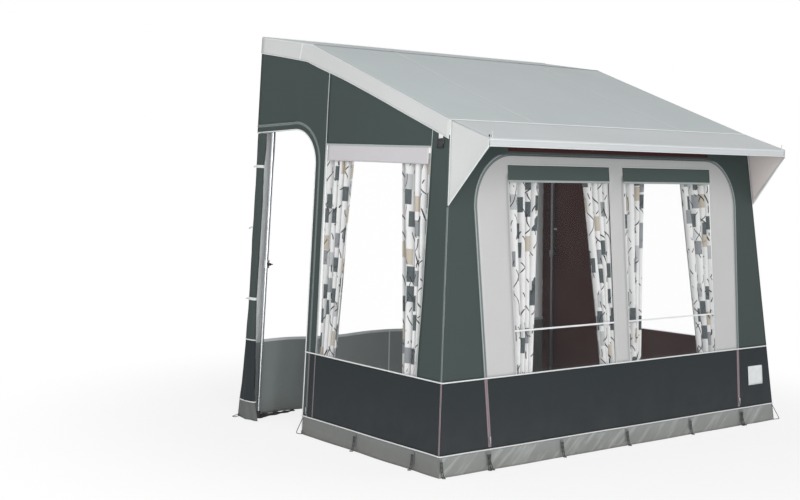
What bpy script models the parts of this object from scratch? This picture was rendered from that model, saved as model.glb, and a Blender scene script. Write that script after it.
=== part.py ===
"""Porch awning: a cloth room with a sun canopy, on a steel tube frame.

The rear side lies against a flat wall and hangs from a rail there. X runs along that
wall, the front looks towards -Y and Z is up from the ground. The origin is the middle
of the footprint. Inside this file a place is given by x, by its depth in front of the
wall plane and by its height.
"""

import math

import bmesh
import bpy
from mathutils import Vector

# Overall shape of the room
RAIL_HEIGHT = 2.40
RAIL_HALF_WIDTH = 1.29
REAR_SPREAD = 0.093
ROOF_BREAK_DEPTH = 0.535
ROOF_BREAK_DROP = 0.066
EAVE_DEPTH = 1.81
EAVE_DROP = 0.451
EAVE_FLARE = 0.03
FRONT_LEAN = 0.195
CORNER_SPREAD = 0.189
REAR_FOOT_HALF_WIDTH = RAIL_HALF_WIDTH + REAR_SPREAD
ROOF_BREAK_HEIGHT = RAIL_HEIGHT - ROOF_BREAK_DROP
EAVE_HEIGHT = ROOF_BREAK_HEIGHT - EAVE_DROP
EAVE_HALF_WIDTH = RAIL_HALF_WIDTH + EAVE_FLARE
FRONT_FOOT_DEPTH = EAVE_DEPTH + FRONT_LEAN
FRONT_FOOT_HALF_WIDTH = EAVE_HALF_WIDTH + CORNER_SPREAD

# Canopy in front of the eave
CANOPY_REACH = 0.305
CANOPY_DROP = 0.094
CANOPY_FLARE = 0.003
CANOPY_HEM_DROP = 0.042
FLAP_DROP = 0.363
CANOPY_DEPTH = EAVE_DEPTH + CANOPY_REACH
CANOPY_HEIGHT = EAVE_HEIGHT - CANOPY_DROP
CANOPY_HALF_WIDTH = EAVE_HALF_WIDTH + CANOPY_FLARE
FLAP_TIP_HEIGHT = CANOPY_HEIGHT - FLAP_DROP

# Two sewn bands round the foot of the walls
MUD_FLAP_HEIGHT = 0.111
BAND_HEIGHT = 0.3815
BAND_TOP_HEIGHT = MUD_FLAP_HEIGHT + BAND_HEIGHT

# Side valances of the roof
VALANCE_DROP = 0.10
VALANCE_OVERLAP = 0.02
VALANCE_STAND_OFF = 0.0015

# Cloth, clear sheet and clearances
CLOTH = 0.002
PANE = 0.001
GAP = 0.0003
SEAM_GAP = 0.0006
REAR_CLEARANCE = 0.001
WELD = 0.00001
BEAD_RADIUS = 0.004

# Side wall: seams as shares of the wall's depth at the same height
SEAM_SHARE = 0.40
WINDOW_FRONT_TOP_SHARE = 0.917
WINDOW_FRONT_FOOT_SHARE = 0.888
SIDE_WINDOW_DROP = 0.148
SIDE_WINDOW_TOP = EAVE_HEIGHT - SIDE_WINDOW_DROP
CUT_COLUMN_SHARES = (0.1, 0.2, 0.3, 0.4, 0.5, 0.6, 0.7, 0.8, 0.9)
CUT_ROW_SHARES = (0.12, 0.24, 0.36, 0.48, 0.6, 0.72, 0.84)

# Doorway in the side wall
DOOR_EDGE_SHARE = 0.345
DOOR_TOP_DROP = 0.063
DOOR_TOP_RISE = 0.024
DOOR_CORNER_RADIUS = 0.22
DOOR_CORNER_STEPS = 10
DOOR_STRIP_WIDTH = 0.035
DOOR_ZIP_WIDTH = 0.012
DOOR_ZIP_THICKNESS = 0.003
DOOR_HINGE_CLEARANCE = 0.0035
DOOR_TOP_FRONT = EAVE_HEIGHT - DOOR_TOP_DROP
DOOR_TOP_REAR = DOOR_TOP_FRONT - DOOR_TOP_RISE

# Door rolled up and tied at the wall side of the left doorway
ROLL_TOP_CLEARANCE = 0.006
ROLL_TOP_HEIGHT = DOOR_TOP_REAR - ROLL_TOP_CLEARANCE
ROLL_FOLD_HEIGHT = 0.30
ROLL_LOW_TIE_HEIGHT = 0.75
ROLL_MIDDLE_HEIGHT = 1.20
ROLL_HIGH_TIE_HEIGHT = 1.585
ROLL_SHOULDER_HEIGHT = 1.70
ROLL_HALF_DEPTHS = (0.100, 0.080, 0.064, 0.047, 0.034, 0.038, 0.032, 0.040, 0.040)
ROLL_HALF_THICKNESSES = (0.030, 0.026, 0.024, 0.021, 0.018, 0.018, 0.017, 0.018, 0.016)
ROLL_REAR_DEPTHS = (0.0100, 0.0120, 0.0135, 0.0198, 0.0245, 0.0244, 0.0253, 0.0249, 0.0235)
ROLL_STAND_OFFS = (0.031, 0.026, 0.012, 0.009, 0.006, 0.006, 0.006, 0.006, 0.006)
ROLL_SIDES = 16

# Front wall: the arched panel and its two windows
PANEL_TOP_DROP = 0.173
PANEL_SIDE_MARGIN = 0.152
PANEL_CORNER_RADIUS = 0.30
PANEL_TAPER = 0.039
PANEL_TOP_HEIGHT = EAVE_HEIGHT - PANEL_TOP_DROP
PANEL_HALF_WIDTH_TOP = EAVE_HALF_WIDTH - PANEL_SIDE_MARGIN
PANEL_HALF_WIDTH_FOOT = PANEL_HALF_WIDTH_TOP - PANEL_TAPER
PANEL_CORNER_STEPS = 12
FRONT_WINDOW_INNER = 0.064
FRONT_WINDOW_MARGIN = 0.261
FRONT_WINDOW_DROP = 0.11
PANE_OVERLAP = 0.015
PELMET_BELOW_TOP = 0.038
PELMET_ABOVE_TOP = 0.05
FRONT_WINDOW_OUTER = PANEL_HALF_WIDTH_TOP - FRONT_WINDOW_MARGIN
FRONT_WINDOW_TOP = PANEL_TOP_HEIGHT - FRONT_WINDOW_DROP
PELMET_FOOT = FRONT_WINDOW_TOP - PELMET_BELOW_TOP
PELMET_TOP = FRONT_WINDOW_TOP + PELMET_ABOVE_TOP
PELMET_THICKNESS = 0.0025
FRONT_ZIP_WIDTH = 0.014
FRONT_ZIP_THICKNESS = 0.002
ZIP_FOOT_CLEARANCE = 0.012

# Zip sliders
SLIDER_WIDTH = 0.012
SLIDER_LENGTH = 0.020
SLIDER_THICKNESS = 0.005
PULL_LENGTH = 0.032
PULL_WIDTH = 0.007
PULL_THICKNESS = 0.002
PULL_HANG_SHARE = 0.35
SLIDER_REST_LIFT = 0.045

# Steel tubes
TUBE_RADIUS = 0.0125
TUBE_WALL = 0.0012
CANOPY_TUBE_RADIUS = 0.009
TUBE_SIDES = 16
RAFTER_INSET = 0.03
BRACKET_WIDTH = 0.05
BRACKET_HEIGHT = 0.05
BRACKET_THICKNESS = 0.006
REAR_LEG_DEPTH = 0.13
REAR_LEG_INSET = 0.040
FRONT_LEG_INSET = 0.046
LEG_FOOT_INSET = 0.052
COLLAR_HEIGHT = 0.95
COLLAR_RADIUS = 0.020
COLLAR_LENGTH = 0.05
LEG_INSERT_LENGTH = 0.30
FOOT_RADIUS = 0.034
FOOT_THICKNESS = 0.008
FOOT_SOCKET_RADIUS = 0.017
FOOT_SOCKET_HEIGHT = 0.045
KNOB_RADIUS = 0.009
KNOB_LENGTH = 0.022
KNOB_WING_LENGTH = 0.036
KNOB_WING_WIDTH = 0.007
KNOB_WING_HEIGHT = 0.012
PIN_RADIUS = 0.003
PIN_HEIGHT = 0.030
PIN_INSET = 0.022
EYELET_RADIUS = 0.0045
CANOPY_POLE_INSET = 0.05

# Curtains
STEPS_PER_FOLD = 6
CURTAIN_THICKNESS = 0.002
CURTAIN_FOLDS = 5
CURTAIN_ROWS = 7
CURTAIN_FOLD_DEPTH = 0.017
CURTAIN_CLEARANCE = 0.0006
CURTAIN_FOOT_LEAN = 0.012
CURTAIN_FOOT_DROP = 0.0375
CURTAIN_FOOT_HEIGHT = BAND_TOP_HEIGHT - CURTAIN_FOOT_DROP
FRONT_CURTAIN_RISE = 0.03
FRONT_CURTAIN_TOP = FRONT_WINDOW_TOP + FRONT_CURTAIN_RISE
FRONT_CURTAIN_TOP_WIDTH = 0.245
FRONT_CURTAIN_FOOT_WIDTH = 0.120
SIDE_CURTAIN_DROP = 0.035
SIDE_CURTAIN_TOP = SIDE_WINDOW_TOP - SIDE_CURTAIN_DROP
SIDE_CURTAIN_TOP_WIDTH = 0.27
SIDE_CURTAIN_FOOT_WIDTH = 0.16
CURTAIN_MARGIN = 0.012

# Rear strips that seal against the wall, and the skirt between them
PAD_THICKNESS = 0.03
PAD_WIDTH = 0.145
PAD_POINT_WIDTH = 0.12
PAD_FOOT_WIDTH = 0.075
PAD_TOP_DROP = 0.12
PAD_TOP_HEIGHT = RAIL_HEIGHT - PAD_TOP_DROP
PAD_FOOT_HEIGHT = 0.15
PAD_POINT_HEIGHT = 0.42
SKIRT_HEIGHT = 0.47
SKIRT_SIDE_INSET = 0.022
SKIRT_FOLDS = 9
SKIRT_ROWS = 4
SKIRT_FOLD_DEPTH = 0.018
SKIRT_TOP_FOLD_SHARE = 0.35

# Colours as red, green and blue, then roughness and metallic
FINISHES = {
    "roof_cloth": ((0.49, 0.53, 0.53), 0.7, 0.0),
    "pale_cloth": ((0.58, 0.58, 0.59), 0.7, 0.0),
    "green_cloth": ((0.065, 0.083, 0.080), 0.75, 0.0),
    "charcoal_cloth": ((0.042, 0.048, 0.051), 0.7, 0.0),
    "mud_cloth": ((0.22, 0.23, 0.22), 0.6, 0.0),
    "skirt_cloth": ((0.11, 0.12, 0.12), 0.6, 0.0),
    "clear_sheet": ((0.85, 0.88, 0.88), 0.1, 0.0),
    "curtain_cloth": ((0.80, 0.80, 0.78), 0.8, 0.0),
    "zip_tape": ((0.26, 0.31, 0.31), 0.5, 0.0),
    "steel_tube": ((0.42, 0.44, 0.47), 0.35, 1.0),
    "black_plastic": ((0.02, 0.02, 0.022), 0.45, 0.0),
    "white_plastic": ((0.75, 0.76, 0.76), 0.4, 0.0),
}

SIDES = (("left", -1), ("right", 1))
MIDDLE_DEPTH = CANOPY_DEPTH / 2


def lerp(start, end, share):
    return start + (end - start) * share


def at(x, depth, height):
    """A place in the model's frame from its depth in front of the wall."""
    return Vector((x, MIDDLE_DEPTH - depth, height))


def roof_height(depth):
    if depth < ROOF_BREAK_DEPTH:
        return lerp(RAIL_HEIGHT, ROOF_BREAK_HEIGHT, depth / ROOF_BREAK_DEPTH)
    share = (depth - ROOF_BREAK_DEPTH) / (EAVE_DEPTH - ROOF_BREAK_DEPTH)
    return lerp(ROOF_BREAK_HEIGHT, EAVE_HEIGHT, share)


def canopy_height(depth):
    return lerp(EAVE_HEIGHT, CANOPY_HEIGHT, (depth - EAVE_DEPTH) / (CANOPY_DEPTH - EAVE_DEPTH))


def corner_depth(height):
    """Depth of the front wall, which leans out towards its foot."""
    return lerp(FRONT_FOOT_DEPTH, EAVE_DEPTH, height / EAVE_HEIGHT)


def corner_x(height):
    return lerp(FRONT_FOOT_HALF_WIDTH, EAVE_HALF_WIDTH, height / EAVE_HEIGHT)


def rear_x(height):
    return lerp(REAR_FOOT_HALF_WIDTH, RAIL_HALF_WIDTH, height / RAIL_HEIGHT)


def side_x(share, height):
    return lerp(rear_x(height), corner_x(height), share)


def side_normal(side, share, height):
    """Outward direction of the side wall, from its two straight lines through a point."""
    along = Vector((side * (corner_x(height) - rear_x(height)), -corner_depth(height), 0))
    rear_lean = (RAIL_HALF_WIDTH - REAR_FOOT_HALF_WIDTH) / RAIL_HEIGHT
    corner_lean = (EAVE_HALF_WIDTH - FRONT_FOOT_HALF_WIDTH) / EAVE_HEIGHT
    depth_lean = (EAVE_DEPTH - FRONT_FOOT_DEPTH) / EAVE_HEIGHT
    up = Vector((side * lerp(rear_lean, corner_lean, share), -share * depth_lean, 1))
    normal = along.cross(up).normalized()
    return normal if normal.x * side > 0 else -normal


def side_place(side):
    """Lays (share of depth, height, stand-out) on a side wall, a ruled surface."""

    def place(share, height, out):
        point = at(side * side_x(share, height), share * corner_depth(height), height)
        return point + side_normal(side, share, height) * out

    return place


def front_normal():
    return Vector((0, -EAVE_HEIGHT, FRONT_FOOT_DEPTH - EAVE_DEPTH)).normalized()


def front_place(x, height, out):
    """Lays (x, height, stand-out) on the front wall, which is flat."""
    return at(x, corner_depth(height), height) + front_normal() * out


def valance_edge_x(depth, height):
    """X of the side wall under the roof's edge, moved out to the valance's outer face."""
    return side_x(depth / corner_depth(height), height) + VALANCE_STAND_OFF + CLOTH


def roof_place(share, depth, out):
    height = roof_height(depth)
    return at(share * valance_edge_x(depth, height), depth, height + out)


def canopy_place(share, run, out):
    """The run goes down the canopy's slope by its depth, then down the hem."""
    depth = min(run, CANOPY_DEPTH)
    eave_x = valance_edge_x(EAVE_DEPTH, EAVE_HEIGHT)
    front_x = CANOPY_HALF_WIDTH + VALANCE_STAND_OFF + CLOTH
    half_width = lerp(eave_x, front_x, (depth - EAVE_DEPTH) / (CANOPY_DEPTH - EAVE_DEPTH))
    if run > CANOPY_DEPTH - WELD:
        depth += out
    height = canopy_height(depth) + out
    if run > CANOPY_DEPTH + WELD:
        height = CANOPY_HEIGHT - (run - CANOPY_DEPTH)
    return at(share * half_width, depth, height)


def valance_place(side):
    def place(depth, drop, out):
        height = roof_height(depth) - CLOTH - GAP - drop
        return at(side * (valance_edge_x(depth, height) + out), depth, height)

    return place


def flap_place(side):
    """A flat sheet through the eave corner, the canopy's corner and the flap's tip."""
    eave_x = valance_edge_x(EAVE_DEPTH, EAVE_HEIGHT)
    front_x = CANOPY_HALF_WIDTH + VALANCE_STAND_OFF + CLOTH
    tip_x = corner_x(FLAP_TIP_HEIGHT) + VALANCE_STAND_OFF + CLOTH
    tip_depth = corner_depth(FLAP_TIP_HEIGHT)
    corners = (
        (EAVE_DEPTH, EAVE_HEIGHT, eave_x),
        (CANOPY_DEPTH, CANOPY_HEIGHT, front_x),
        (tip_depth, FLAP_TIP_HEIGHT, tip_x),
    )
    first, second, third = (Vector(corner) for corner in corners)
    normal = (second - first).cross(third - first)

    def place(depth, height, out):
        x = first.z - (normal.x * (depth - first.x) + normal.y * (height - first.y)) / normal.z
        return at(side * (x + out), depth, height)

    return place


def finish(name):
    """The material of that name, made when it is first asked for."""
    found = bpy.data.materials.get(name)
    if found:
        return found
    colour, roughness, metallic = FINISHES[name]
    made = bpy.data.materials.new(name)
    made.use_nodes = True
    made.diffuse_color = (*colour, 1)
    shader = made.node_tree.nodes["Principled BSDF"]
    shader.inputs["Base Color"].default_value = (*colour, 1)
    shader.inputs["Roughness"].default_value = roughness
    shader.inputs["Metallic"].default_value = metallic
    return made


def keep(name, data, finish_name, parts):
    """Puts a finished mesh or curve in the collection under its own name."""
    piece = bpy.data.objects.new(name, data)
    parts.objects.link(piece)
    data.materials.clear()
    data.materials.append(finish(finish_name))
    return piece


def mesh_of(source):
    """A mesh copy of an evaluated object in world space, with its caps welded."""
    bpy.context.view_layer.update()
    graph = bpy.context.evaluated_depsgraph_get()
    mesh = bpy.data.meshes.new_from_object(source.evaluated_get(graph))
    mesh.transform(source.matrix_world)
    work = bmesh.new()
    work.from_mesh(mesh)
    bmesh.ops.remove_doubles(work, verts=work.verts, dist=WELD)
    work.to_mesh(mesh)
    work.free()
    return mesh


def replace_by_mesh(source, finish_name, parts):
    """Turns a curve or a modified object into a plain mesh object of the same name."""
    name = source.name
    mesh = mesh_of(source)
    bpy.data.objects.remove(source)
    return keep(name, mesh, finish_name, parts)


def combine(target, others, operation, finish_name, parts):
    """Joins others to target, or cuts them from it, and leaves one mesh object."""
    for other in others:
        modifier = target.modifiers.new(operation.lower(), "BOOLEAN")
        modifier.operation = operation
        modifier.object = other
    result = replace_by_mesh(target, finish_name, parts)
    for other in others:
        bpy.data.objects.remove(other)
    return result


def face_outwards(work):
    """Makes a closed body's faces agree, and turns them round if they point inwards."""
    bmesh.ops.recalc_face_normals(work, faces=work.faces)
    if work.calc_volume(signed=True) < 0:
        bmesh.ops.reverse_faces(work, faces=work.faces)


def cloth_piece(name, outlines, place, finish_name, parts, thickness=CLOTH, out=0, cuts=((), ())):
    """Cuts a flat outline with its holes, gives it thickness and lays it by a place function.

    The outer face lies out beyond the wall's surface. Cuts are the columns and rows where
    the flat piece is divided, so that it follows a surface that isn't flat.
    """
    curve = bpy.data.curves.new(name, "CURVE")
    curve.dimensions = "2D"
    curve.fill_mode = "BOTH"
    curve.extrude = thickness / 2
    for outline in outlines:
        spline = curve.splines.new("POLY")
        spline.points.add(len(outline) - 1)
        for point, (across, up) in zip(spline.points, outline):
            point.co = (across, up, 0, 1)
        spline.use_cyclic_u = True
    flat = bpy.data.objects.new(name + "_flat", curve)
    parts.objects.link(flat)
    mesh = mesh_of(flat)
    bpy.data.objects.remove(flat)
    work = bmesh.new()
    work.from_mesh(mesh)
    for axis, places in enumerate(cuts):
        for value in places:
            point = [0, 0, 0]
            direction = [0, 0, 0]
            point[axis] = value
            direction[axis] = 1
            everything = work.verts[:] + work.edges[:] + work.faces[:]
            bmesh.ops.bisect_plane(work, geom=everything, dist=WELD, plane_co=point, plane_no=direction)
    for vertex in work.verts:
        across, up, depth = vertex.co
        vertex.co = place(across, up, out - thickness / 2 + depth)
    face_outwards(work)
    work.to_mesh(mesh)
    work.free()
    return keep(name, mesh, finish_name, parts)


def box(name, size, matrix, finish_name, parts):
    """A box centred on a matrix's origin."""
    mesh = bpy.data.meshes.new(name)
    work = bmesh.new()
    bmesh.ops.create_cube(work, size=1)
    bmesh.ops.scale(work, vec=size, verts=work.verts)
    work.to_mesh(mesh)
    work.free()
    piece = keep(name, mesh, finish_name, parts)
    piece.matrix_world = matrix
    return piece


def pointing(direction, origin):
    """A matrix whose Z axis runs along a direction."""
    matrix = Vector(direction).to_track_quat("Z", "Y").to_matrix().to_4x4()
    matrix.translation = origin
    return matrix


def turned(name, profile, closed, matrix, finish_name, parts):
    """Turns a profile of (radius, height) points round the matrix's Z axis."""
    mesh = bpy.data.meshes.new(name)
    edges = [(index, index + 1) for index in range(len(profile) - 1)]
    if closed:
        edges.append((len(profile) - 1, 0))
    mesh.from_pydata([(radius, 0, height) for radius, height in profile], edges, [])
    piece = keep(name, mesh, finish_name, parts)
    piece.matrix_world = matrix
    screw = piece.modifiers.new("turn", "SCREW")
    screw.steps = TUBE_SIDES
    screw.render_steps = TUBE_SIDES
    screw.use_merge_vertices = True
    screw.merge_threshold = WELD
    screw.use_smooth_shade = True
    return piece


def swept(name, points, radius, finish_name, parts):
    """A round sweep through its points, as a curve."""
    curve = bpy.data.curves.new(name, "CURVE")
    curve.dimensions = "3D"
    curve.bevel_depth = radius
    curve.bevel_resolution = 2
    spline = curve.splines.new("POLY")
    spline.points.add(len(points) - 1)
    for control, point in zip(spline.points, points):
        control.co = (*point, 1)
    return keep(name, curve, finish_name, parts)


def bar(name, points, radius, finish_name, parts):
    """A round bar through its points, with flat closed ends."""
    sweep = swept(name, points, radius, finish_name, parts)
    sweep.data.use_fill_caps = True
    return replace_by_mesh(sweep, finish_name, parts)


def tube(name, points, radius, parts):
    """A steel tube through its points, open at both ends."""
    sweep = swept(name, points, radius, "steel_tube", parts)
    shell = sweep.modifiers.new("wall", "SOLIDIFY")
    shell.thickness = TUBE_WALL
    shell.offset = -1
    return replace_by_mesh(sweep, "steel_tube", parts)


def share_at(depth, height):
    return depth / corner_depth(height)


def gable_top(share):
    """Height where a side wall ends behind the valance, at a share of its depth."""
    height = EAVE_HEIGHT
    for _ in range(DOOR_CORNER_STEPS):
        depth = share * corner_depth(height)
        height = roof_height(depth) - CLOTH - GAP - VALANCE_DROP + VALANCE_OVERLAP
    return height


def break_share():
    height = ROOF_BREAK_HEIGHT - CLOTH - GAP - VALANCE_DROP + VALANCE_OVERLAP
    return share_at(ROOF_BREAK_DEPTH, height)


def corner_end_share(height):
    """Where a side wall stops behind the front wall's cloth."""
    return 1 - (CLOTH + SEAM_GAP) / corner_depth(height)


def rear_end_share(height):
    return share_at(REAR_CLEARANCE, height)


def door_path(offset, foot_height):
    """The doorway's edge moved out by an offset, from its foot over the arch to the rear.

    Each point is a share of the wall's depth and a height.
    """
    corner_height = DOOR_TOP_FRONT - DOOR_CORNER_RADIUS
    edge_depth = DOOR_EDGE_SHARE * corner_depth(corner_height) + offset
    radius = DOOR_CORNER_RADIUS + offset
    centre_depth = edge_depth - radius
    foot_share = DOOR_EDGE_SHARE + offset / corner_depth(foot_height)
    path = [(foot_share, foot_height)]
    for step in range(DOOR_CORNER_STEPS + 1):
        angle = math.pi / 2 * step / DOOR_CORNER_STEPS
        depth = centre_depth + radius * math.cos(angle)
        height = corner_height + radius * math.sin(angle)
        path.append((share_at(depth, height), height))
    rear_height = DOOR_TOP_REAR + offset
    path.append((rear_end_share(rear_height), rear_height))
    return path


def side_cuts():
    rows = [lerp(0, ROOF_BREAK_HEIGHT, share) for share in CUT_ROW_SHARES]
    return (CUT_COLUMN_SHARES, rows)


def build_roof(parts):
    ends = [at(side * RAIL_HALF_WIDTH, BEAD_RADIUS, RAIL_HEIGHT) for _, side in SIDES]
    bar("rail_bead", ends, BEAD_RADIUS, "white_plastic", parts)
    stations = [lerp(ROOF_BREAK_DEPTH, EAVE_DEPTH, share) for share in CUT_ROW_SHARES]
    rear = 2 * BEAD_RADIUS + GAP
    outline = [(-1, rear), (1, rear), (1, EAVE_DEPTH), (-1, EAVE_DEPTH)]
    cuts = ((), [ROOF_BREAK_DEPTH] + stations)
    cloth_piece("roof_panel", [outline], roof_place, "roof_cloth", parts, cuts=cuts)

    start = EAVE_DEPTH + GAP
    end = CANOPY_DEPTH + CANOPY_HEM_DROP
    outline = [(-1, start), (1, start), (1, end), (-1, end)]
    cuts = ((), (CANOPY_DEPTH,))
    canopy = cloth_piece("canopy_panel", [outline], canopy_place, "roof_cloth", parts, cuts=cuts)
    cutters = []
    for name, side in SIDES:
        eyelet = turned(
            name + "_eyelet_cutter",
            [(0, PIN_HEIGHT), (EYELET_RADIUS, PIN_HEIGHT), (EYELET_RADIUS, -PIN_HEIGHT), (0, -PIN_HEIGHT)],
            False,
            pointing((0, 0, 1), pin_foot(side)),
            "steel_tube",
            parts,
        )
        cutters.append(eyelet)
    combine(canopy, cutters, "DIFFERENCE", "roof_cloth", parts)

    for name, side in SIDES:
        outline = [
            (REAR_CLEARANCE, 0),
            (EAVE_DEPTH, 0),
            (EAVE_DEPTH, VALANCE_DROP),
            (REAR_CLEARANCE, VALANCE_DROP),
        ]
        cuts = ([ROOF_BREAK_DEPTH] + stations, ())
        cloth_piece(name + "_valance", [outline], valance_place(side), "pale_cloth", parts, cuts=cuts)

        inside = CANOPY_DEPTH - CLOTH - GAP
        eave_line = EAVE_HEIGHT - CLOTH - GAP
        outline = [
            (corner_depth(eave_line) + SEAM_GAP, eave_line - SEAM_GAP),
            (corner_depth(FLAP_TIP_HEIGHT) + SEAM_GAP, FLAP_TIP_HEIGHT),
            (inside, CANOPY_HEIGHT - CANOPY_HEM_DROP),
            (inside, CANOPY_HEIGHT - CLOTH - GAP),
        ]
        cloth_piece(name + "_canopy_flap", [outline], flap_place(side), "pale_cloth", parts)


def build_side_wall(name, side, parts):
    """The gables, window, band and mud flap of one side."""
    place = side_place(side)
    cuts = side_cuts()
    has_zip = side < 0
    outside = DOOR_STRIP_WIDTH + DOOR_ZIP_WIDTH + GAP if has_zip else GAP
    foot = BAND_TOP_HEIGHT + GAP
    seam_top = gable_top(SEAM_SHARE)
    rear_share = rear_end_share(RAIL_HEIGHT)
    outline = [
        (rear_share, gable_top(0)),
        (break_share(), gable_top(break_share())),
        (SEAM_SHARE, seam_top),
        (SEAM_SHARE, foot),
    ]
    outline += door_path(outside, foot)
    cloth_piece(name + "_rear_gable", [outline], place, "green_cloth", parts, cuts=cuts)

    if has_zip:
        zip_foot = MUD_FLAP_HEIGHT + GAP
        inner = door_path(DOOR_STRIP_WIDTH, zip_foot)
        outer = door_path(DOOR_STRIP_WIDTH + DOOR_ZIP_WIDTH, zip_foot)
        proud = (DOOR_ZIP_THICKNESS - CLOTH) / 2
        cloth_piece(
            name + "_door_zip",
            [inner + outer[::-1]],
            place,
            "zip_tape",
            parts,
            thickness=DOOR_ZIP_THICKNESS,
            out=proud,
            cuts=((), cuts[1]),
        )
        inner = door_path(0, zip_foot)
        outer = door_path(DOOR_STRIP_WIDTH - GAP, zip_foot)
        outline = inner + outer[::-1]
        cloth_piece(name + "_door_strip", [outline], place, "green_cloth", parts, cuts=((), cuts[1]))

    start = SEAM_SHARE + share_at(SEAM_GAP, EAVE_HEIGHT)
    corner_top = EAVE_HEIGHT - CLOTH - GAP - VALANCE_DROP + VALANCE_OVERLAP
    outline = [
        (start, gable_top(start)),
        (corner_end_share(corner_top), gable_top(corner_end_share(corner_top))),
        (corner_end_share(foot), foot),
        (WINDOW_FRONT_FOOT_SHARE, foot),
        (WINDOW_FRONT_TOP_SHARE, SIDE_WINDOW_TOP),
        (start, SIDE_WINDOW_TOP),
    ]
    cloth_piece(name + "_front_gable", [outline], place, "green_cloth", parts, cuts=cuts)

    reach = share_at(SEAM_GAP, EAVE_HEIGHT)
    outline = [
        (start, foot),
        (WINDOW_FRONT_FOOT_SHARE - reach, foot),
        (WINDOW_FRONT_TOP_SHARE - reach, SIDE_WINDOW_TOP - GAP),
        (start, SIDE_WINDOW_TOP - GAP),
    ]
    cloth_piece(name + "_window", [outline], place, "clear_sheet", parts, cuts=cuts)

    band_top = BAND_TOP_HEIGHT
    band_foot = MUD_FLAP_HEIGHT + GAP
    outline = [
        (DOOR_EDGE_SHARE + outside / corner_depth(band_foot), band_foot),
        (corner_end_share(band_foot), band_foot),
        (corner_end_share(band_top), band_top),
        (DOOR_EDGE_SHARE + outside / corner_depth(band_top), band_top),
    ]
    cloth_piece(name + "_band", [outline], place, "charcoal_cloth", parts, cuts=cuts)

    door_end = 0 if has_zip else GAP
    outline = [
        (DOOR_EDGE_SHARE + door_end / corner_depth(0), SEAM_GAP),
        (corner_end_share(0), SEAM_GAP),
        (corner_end_share(MUD_FLAP_HEIGHT), MUD_FLAP_HEIGHT),
        (DOOR_EDGE_SHARE + door_end / corner_depth(MUD_FLAP_HEIGHT), MUD_FLAP_HEIGHT),
    ]
    cloth_piece(name + "_mud_flap", [outline], place, "mud_cloth", parts, cuts=cuts)


def build_closed_door(parts):
    """The right door, zipped shut, which can swing about its rear edge."""
    arch = door_path(-GAP, SEAM_GAP)[:-1]
    top = DOOR_TOP_REAR - GAP
    outline = arch + [(share_at(DOOR_HINGE_CLEARANCE, height), height) for height in (top, SEAM_GAP)]
    cloth_piece("right_door_panel", [outline], side_place(1), "green_cloth", parts, cuts=side_cuts())


def build_rolled_door(parts):
    """The left door, rolled up beside the rear edge of its doorway, as a lofted bundle."""
    place = side_place(-1)
    heights = (
        0,
        MUD_FLAP_HEIGHT,
        ROLL_FOLD_HEIGHT,
        BAND_TOP_HEIGHT,
        ROLL_LOW_TIE_HEIGHT,
        ROLL_MIDDLE_HEIGHT,
        ROLL_HIGH_TIE_HEIGHT,
        ROLL_SHOULDER_HEIGHT,
        ROLL_TOP_HEIGHT,
    )
    rings = []
    shapes = zip(heights, ROLL_HALF_DEPTHS, ROLL_HALF_THICKNESSES, ROLL_REAR_DEPTHS, ROLL_STAND_OFFS)
    for height, half_depth, half_thickness, rear, stand_off in shapes:
        ring = []
        for step in range(ROLL_SIDES):
            angle = 2 * math.pi * step / ROLL_SIDES
            depth = rear + half_depth * (1 + math.cos(angle))
            out = stand_off + half_thickness * math.sin(angle)
            ring.append(place(share_at(depth, height), height, out))
        rings.append(ring)
    work = bmesh.new()
    rows = [[work.verts.new(point) for point in ring] for ring in rings]
    for low, high in zip(rows, rows[1:]):
        for step in range(ROLL_SIDES):
            after = (step + 1) % ROLL_SIDES
            work.faces.new((low[step], low[after], high[after], high[step]))
    work.faces.new(rows[0][::-1])
    work.faces.new(rows[-1])
    lowest = min(vertex.co.z for vertex in rows[0])
    for vertex in rows[0]:
        vertex.co.z += max(0, -lowest)
    face_outwards(work)
    mesh = bpy.data.meshes.new("left_door_roll")
    work.to_mesh(mesh)
    work.free()
    for polygon in mesh.polygons:
        polygon.use_smooth = True
    mesh.set_sharp_from_angle(angle=math.pi / 4)
    keep("left_door_roll", mesh, "green_cloth", parts)


def panel_line_x(height):
    """X of the arched panel's straight edge at a height."""
    spring = PANEL_TOP_HEIGHT - PANEL_CORNER_RADIUS
    share = (height - MUD_FLAP_HEIGHT) / (spring - MUD_FLAP_HEIGHT)
    return lerp(PANEL_HALF_WIDTH_FOOT, PANEL_HALF_WIDTH_TOP, share)


def arch_path(offset, foot_height):
    """The arched panel's edge moved out by an offset, from the left foot to the right one."""
    radius = PANEL_CORNER_RADIUS + offset
    centre_x = PANEL_HALF_WIDTH_TOP - PANEL_CORNER_RADIUS
    centre_height = PANEL_TOP_HEIGHT - PANEL_CORNER_RADIUS
    half = [(panel_line_x(foot_height) + offset, foot_height)]
    for step in range(PANEL_CORNER_STEPS + 1):
        angle = math.pi / 2 * step / PANEL_CORNER_STEPS
        x = centre_x + radius * math.cos(angle)
        half.append((x, centre_height + radius * math.sin(angle)))
    return [(-x, height) for x, height in half] + half[::-1]


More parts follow.
